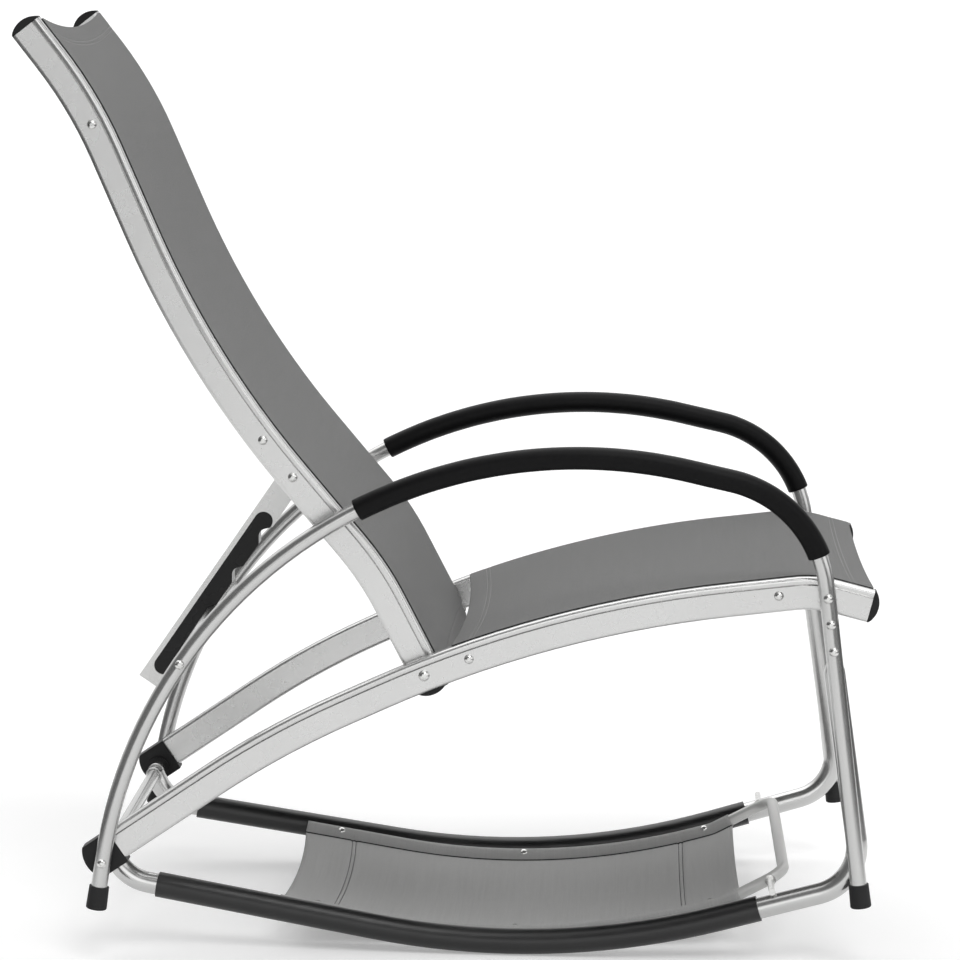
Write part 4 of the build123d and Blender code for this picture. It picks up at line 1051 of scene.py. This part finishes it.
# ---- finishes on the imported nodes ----
METALWORK = {
    "tube": [
        *both("arm_tube"), *both("runner_tube"), "rear_crossbar", "seat_crossbar_front",
        "seat_crossbar_rear", "locking_bar", "backrest_crossbar_top", "backrest_crossbar_middle",
        "strut_pivot_rod"],
    "rail": [*both("seat_rail"), *both("backrest_rail"), "strut_channel"],
    "steel": [
        "crossbar_inserts", "hinge_bolts", "hinge_nuts", "arm_seat_bolts", "arm_seat_nuts",
        "arm_runner_bolts", "arm_runner_nuts", "elbow_bolts", "seat_crossbar_bolts",
        "locking_bar_bolts", "backrest_crossbar_inserts", "backrest_bolts", "footrest_rivets",
        "footrest_pegs"],
    "foot_tube": ["footrest_frame"],
}
MOULDINGS = {
    "plastic": [
        *both("seat_rail_cap"), *both("elbow"), *both("backrest_top_cap"),
        *both("backrest_pivot_cap"), "strut_retaining_clips", "strut_pivot_bush",
        "hinge_washers", "seat_keder_rods", "backrest_keder_rods", "footrest_end_plugs"],
    "foot_rubber": [*both("front_foot_cap"), *both("rear_foot_cap")],
    "sleeve": both("runner_sleeve"),
    "gloss_plastic": ["strut_rack"],
}


def finish_nodes(nodes_by_finish):
    """Give CAD nodes their materials."""
    for finish, names in nodes_by_finish.items():
        for name in names:
            node = frame["nodes"][name]
            if not node.material_slots:
                node.data.materials.append(finishes()[finish])
            for holder in node.material_slots:
                holder.material = finishes()[finish]


class CHAIR_OT_metalwork(bpy.types.Operator):
    """Give the rails, tubes and fasteners their finishes"""

    bl_idname = "chair.metalwork"
    bl_label = "Metal finishes"

    def execute(self, context):
        finish_nodes(METALWORK)
        return {"FINISHED"}


class CHAIR_OT_mouldings(bpy.types.Operator):
    """Give the black plastic, rubber and sleeve pieces their finishes"""

    bl_idname = "chair.mouldings"
    bl_label = "Black mouldings"

    def execute(self, context):
        finish_nodes(MOULDINGS)
        return {"FINISHED"}


# ---- stage ----
FLOOR_HALF = 150.0
CLIP_END = 400.0
SENSOR_WIDTH = 36.0
PAPER_HALF = 1.15
PAPER_FADE = 0.8
PAPER_DIM = 0.06
LAMP_FROM = (0.35, -0.75, 1.25)
WHITE = (1.0, 1.0, 1.0, 1.0)
# each light panel: direction, the angles at which it fades from full to nothing, strength
PANELS = [
    ((0.0, 1.0, 0.25), radians(45), radians(85), 0.80),
    ((0.05, -1.0, 0.18), radians(8), radians(28), 1.70),
    ((0.87, -0.50, 0.30), radians(12), radians(34), 1.30),
    ((-0.10, 0.30, 1.0), radians(15), radians(50), 1.40),
]


class CHAIR_OT_stage(bpy.types.Operator):
    """Add the floor, the light and the camera"""

    bl_idname = "chair.stage"
    bl_label = "Floor, light and camera"

    def execute(self, context):
        settings = context.scene.chair_stage
        self.floor(settings)
        self.world(context.scene, settings)
        self.lamp(settings)
        self.camera(context.scene, settings)
        context.scene.view_settings.view_transform = "Standard"
        return {"FINISHED"}

    def floor(self, settings):
        deselect_all()
        bpy.ops.mesh.primitive_plane_add(size=2 * FLOOR_HALF)
        floor = bpy.context.active_object
        floor.name = "floor"
        paint = Finish("floor_paint", tuple(settings.floor), 0.0, 0.9)
        paint.set("Specular IOR Level", 0.1)
        paint.set("Emission Color", WHITE)
        paint.clouded(paint.noise(3.0), 0.995, 1.005)
        lift = paint.math("MULTIPLY", paint.seen_rays(), settings.floor_lift)
        paint.link(lift, "Emission Strength")
        self.paper_edge(paint)
        floor.data.materials.append(paint.material)

    def paper_edge(self, paint):
        """In gloss the floor is a strip of white paper along Y, with a dim floor beside it."""
        place = paint.add("TexCoord").outputs["Object"]
        aside = paint.math("ABSOLUTE", paint.add("SeparateXYZ", {0: place}).outputs["X"])
        ends = {"Value": aside, "From Min": PAPER_HALF, "From Max": PAPER_HALF + PAPER_FADE}
        beside = paint.add("MapRange", ends).outputs[0]
        glossy = paint.add("LightPath").outputs["Is Glossy Ray"]
        dim_colour = (PAPER_DIM, PAPER_DIM, PAPER_DIM, 1.0)
        dim = paint.add("Emission", {"Color": dim_colour}).outputs[0]
        share = paint.math("MULTIPLY", glossy, beside)
        mixed = paint.add("MixShader", {0: share, 1: paint.shader.outputs[0], 2: dim}).outputs[0]
        output = next(node for node in paint.tree.nodes if node.type == "OUTPUT_MATERIAL")
        paint.tree.links.new(mixed, output.inputs["Surface"])

    def world(self, scene, settings):
        """White to the eye, soft light on the object, and a dimmer studio round it in its gloss."""
        world = bpy.data.worlds.new("studio")
        world.use_nodes = True
        world.node_tree.nodes.clear()
        nodes = NodeMaker(world.node_tree)
        direction = nodes.add("TexCoord").outputs["Generated"]
        studio = settings.studio_dark
        for towards, inner, outer, strength in PANELS:
            aims = {0: direction, 1: Vector(towards).normalized()}
            facing = nodes.add("VectorMath", aims, operation="DOT_PRODUCT").outputs["Value"]
            fade = {"Value": facing, "From Min": cos(outer), "From Max": cos(inner),
                    "To Max": strength}
            panel = nodes.add("MapRange", fade, interpolation_type="SMOOTHSTEP").outputs[0]
            studio = nodes.math("ADD", panel, studio)
        light = nodes.math("MULTIPLY", studio, settings.sky_level)
        gloss = nodes.add("LightPath").outputs["Is Glossy Ray"]
        shown = nodes.add("MapRange", {"Value": gloss, "To Min": 1.0, "To Max": studio}).outputs[0]
        lit = nodes.add("Background", {"Color": WHITE, "Strength": light}).outputs[0]
        seen = nodes.add("Background", {"Color": WHITE, "Strength": shown}).outputs[0]
        mixed = nodes.add("MixShader", {0: nodes.seen_rays(), 1: lit, 2: seen}).outputs[0]
        nodes.add("OutputWorld", {"Surface": mixed})
        scene.world = world

    def lamp(self, settings):
        sun = bpy.data.lights.new("broad_lamp", "SUN")
        sun.energy = settings.sun_level
        sun.angle = settings.sun_spread
        holder = linked("broad_lamp", sun)
        holder.rotation_euler = Vector(LAMP_FROM).to_track_quat("Z", "Y").to_euler()

    def camera(self, scene, settings):
        camera = bpy.data.cameras.new("camera")
        camera.lens = settings.focal_length
        camera.sensor_width = SENSOR_WIDTH
        camera.clip_end = CLIP_END
        holder = linked("camera", camera)
        level = cos(settings.pitch)
        forward = Vector((
            -sin(settings.yaw) * level, cos(settings.yaw) * level, -sin(settings.pitch)))
        target = Vector((TO_FRAME.x, 0.0, settings.look_height))
        holder.location = target - forward * settings.distance
        holder.rotation_euler = forward.to_track_quat("-Z", "Y").to_euler()
        scene.camera = holder


OPERATORS = (
    CHAIR_OT_metalwork, CHAIR_OT_mouldings, CHAIR_OT_seat_sling, CHAIR_OT_backrest_sling,
    CHAIR_OT_footrest_sling, CHAIR_OT_arm_grips, CHAIR_OT_welds, CHAIR_OT_stage)
SETTINGS = {"chair_cloth": ChairCloth, "chair_colours": ChairColours, "chair_stage": ChairStage}


class CHAIR_PT_sidebar(bpy.types.Panel):
    """Buttons and settings of the rocking lounge chair"""

    bl_label = "Rocking lounge chair"
    bl_idname = "CHAIR_PT_sidebar"
    bl_space_type = "VIEW_3D"
    bl_region_type = "UI"
    bl_category = "Chair"

    def draw(self, context):
        for operator in OPERATORS:
            self.layout.operator(operator.bl_idname)
        for name, group in SETTINGS.items():
            box = self.layout.box()
            for setting in group.__annotations__:
                box.prop(getattr(context.scene, name), setting)


def register():
    for name, group in SETTINGS.items():
        bpy.utils.register_class(group)
        setattr(bpy.types.Scene, name, PointerProperty(type=group))
    for kind in (*OPERATORS, CHAIR_PT_sidebar):
        bpy.utils.register_class(kind)


def unregister():
    for kind in (CHAIR_PT_sidebar, *reversed(OPERATORS)):
        bpy.utils.unregister_class(kind)
    for name, group in reversed(SETTINGS.items()):
        delattr(bpy.types.Scene, name)
        bpy.utils.unregister_class(group)


def run(operator):
    """Call an operator by its class, and stop the script if it did not finish."""
    group, name = operator.bl_idname.split(".")
    if getattr(getattr(bpy.ops, group), name)() != {"FINISHED"}:
        raise RuntimeError(operator.bl_label + " did not finish")


def main():
    register()
    for operator in OPERATORS:
        run(operator)
    deselect_all()


if __name__ == "__main__":
    main()
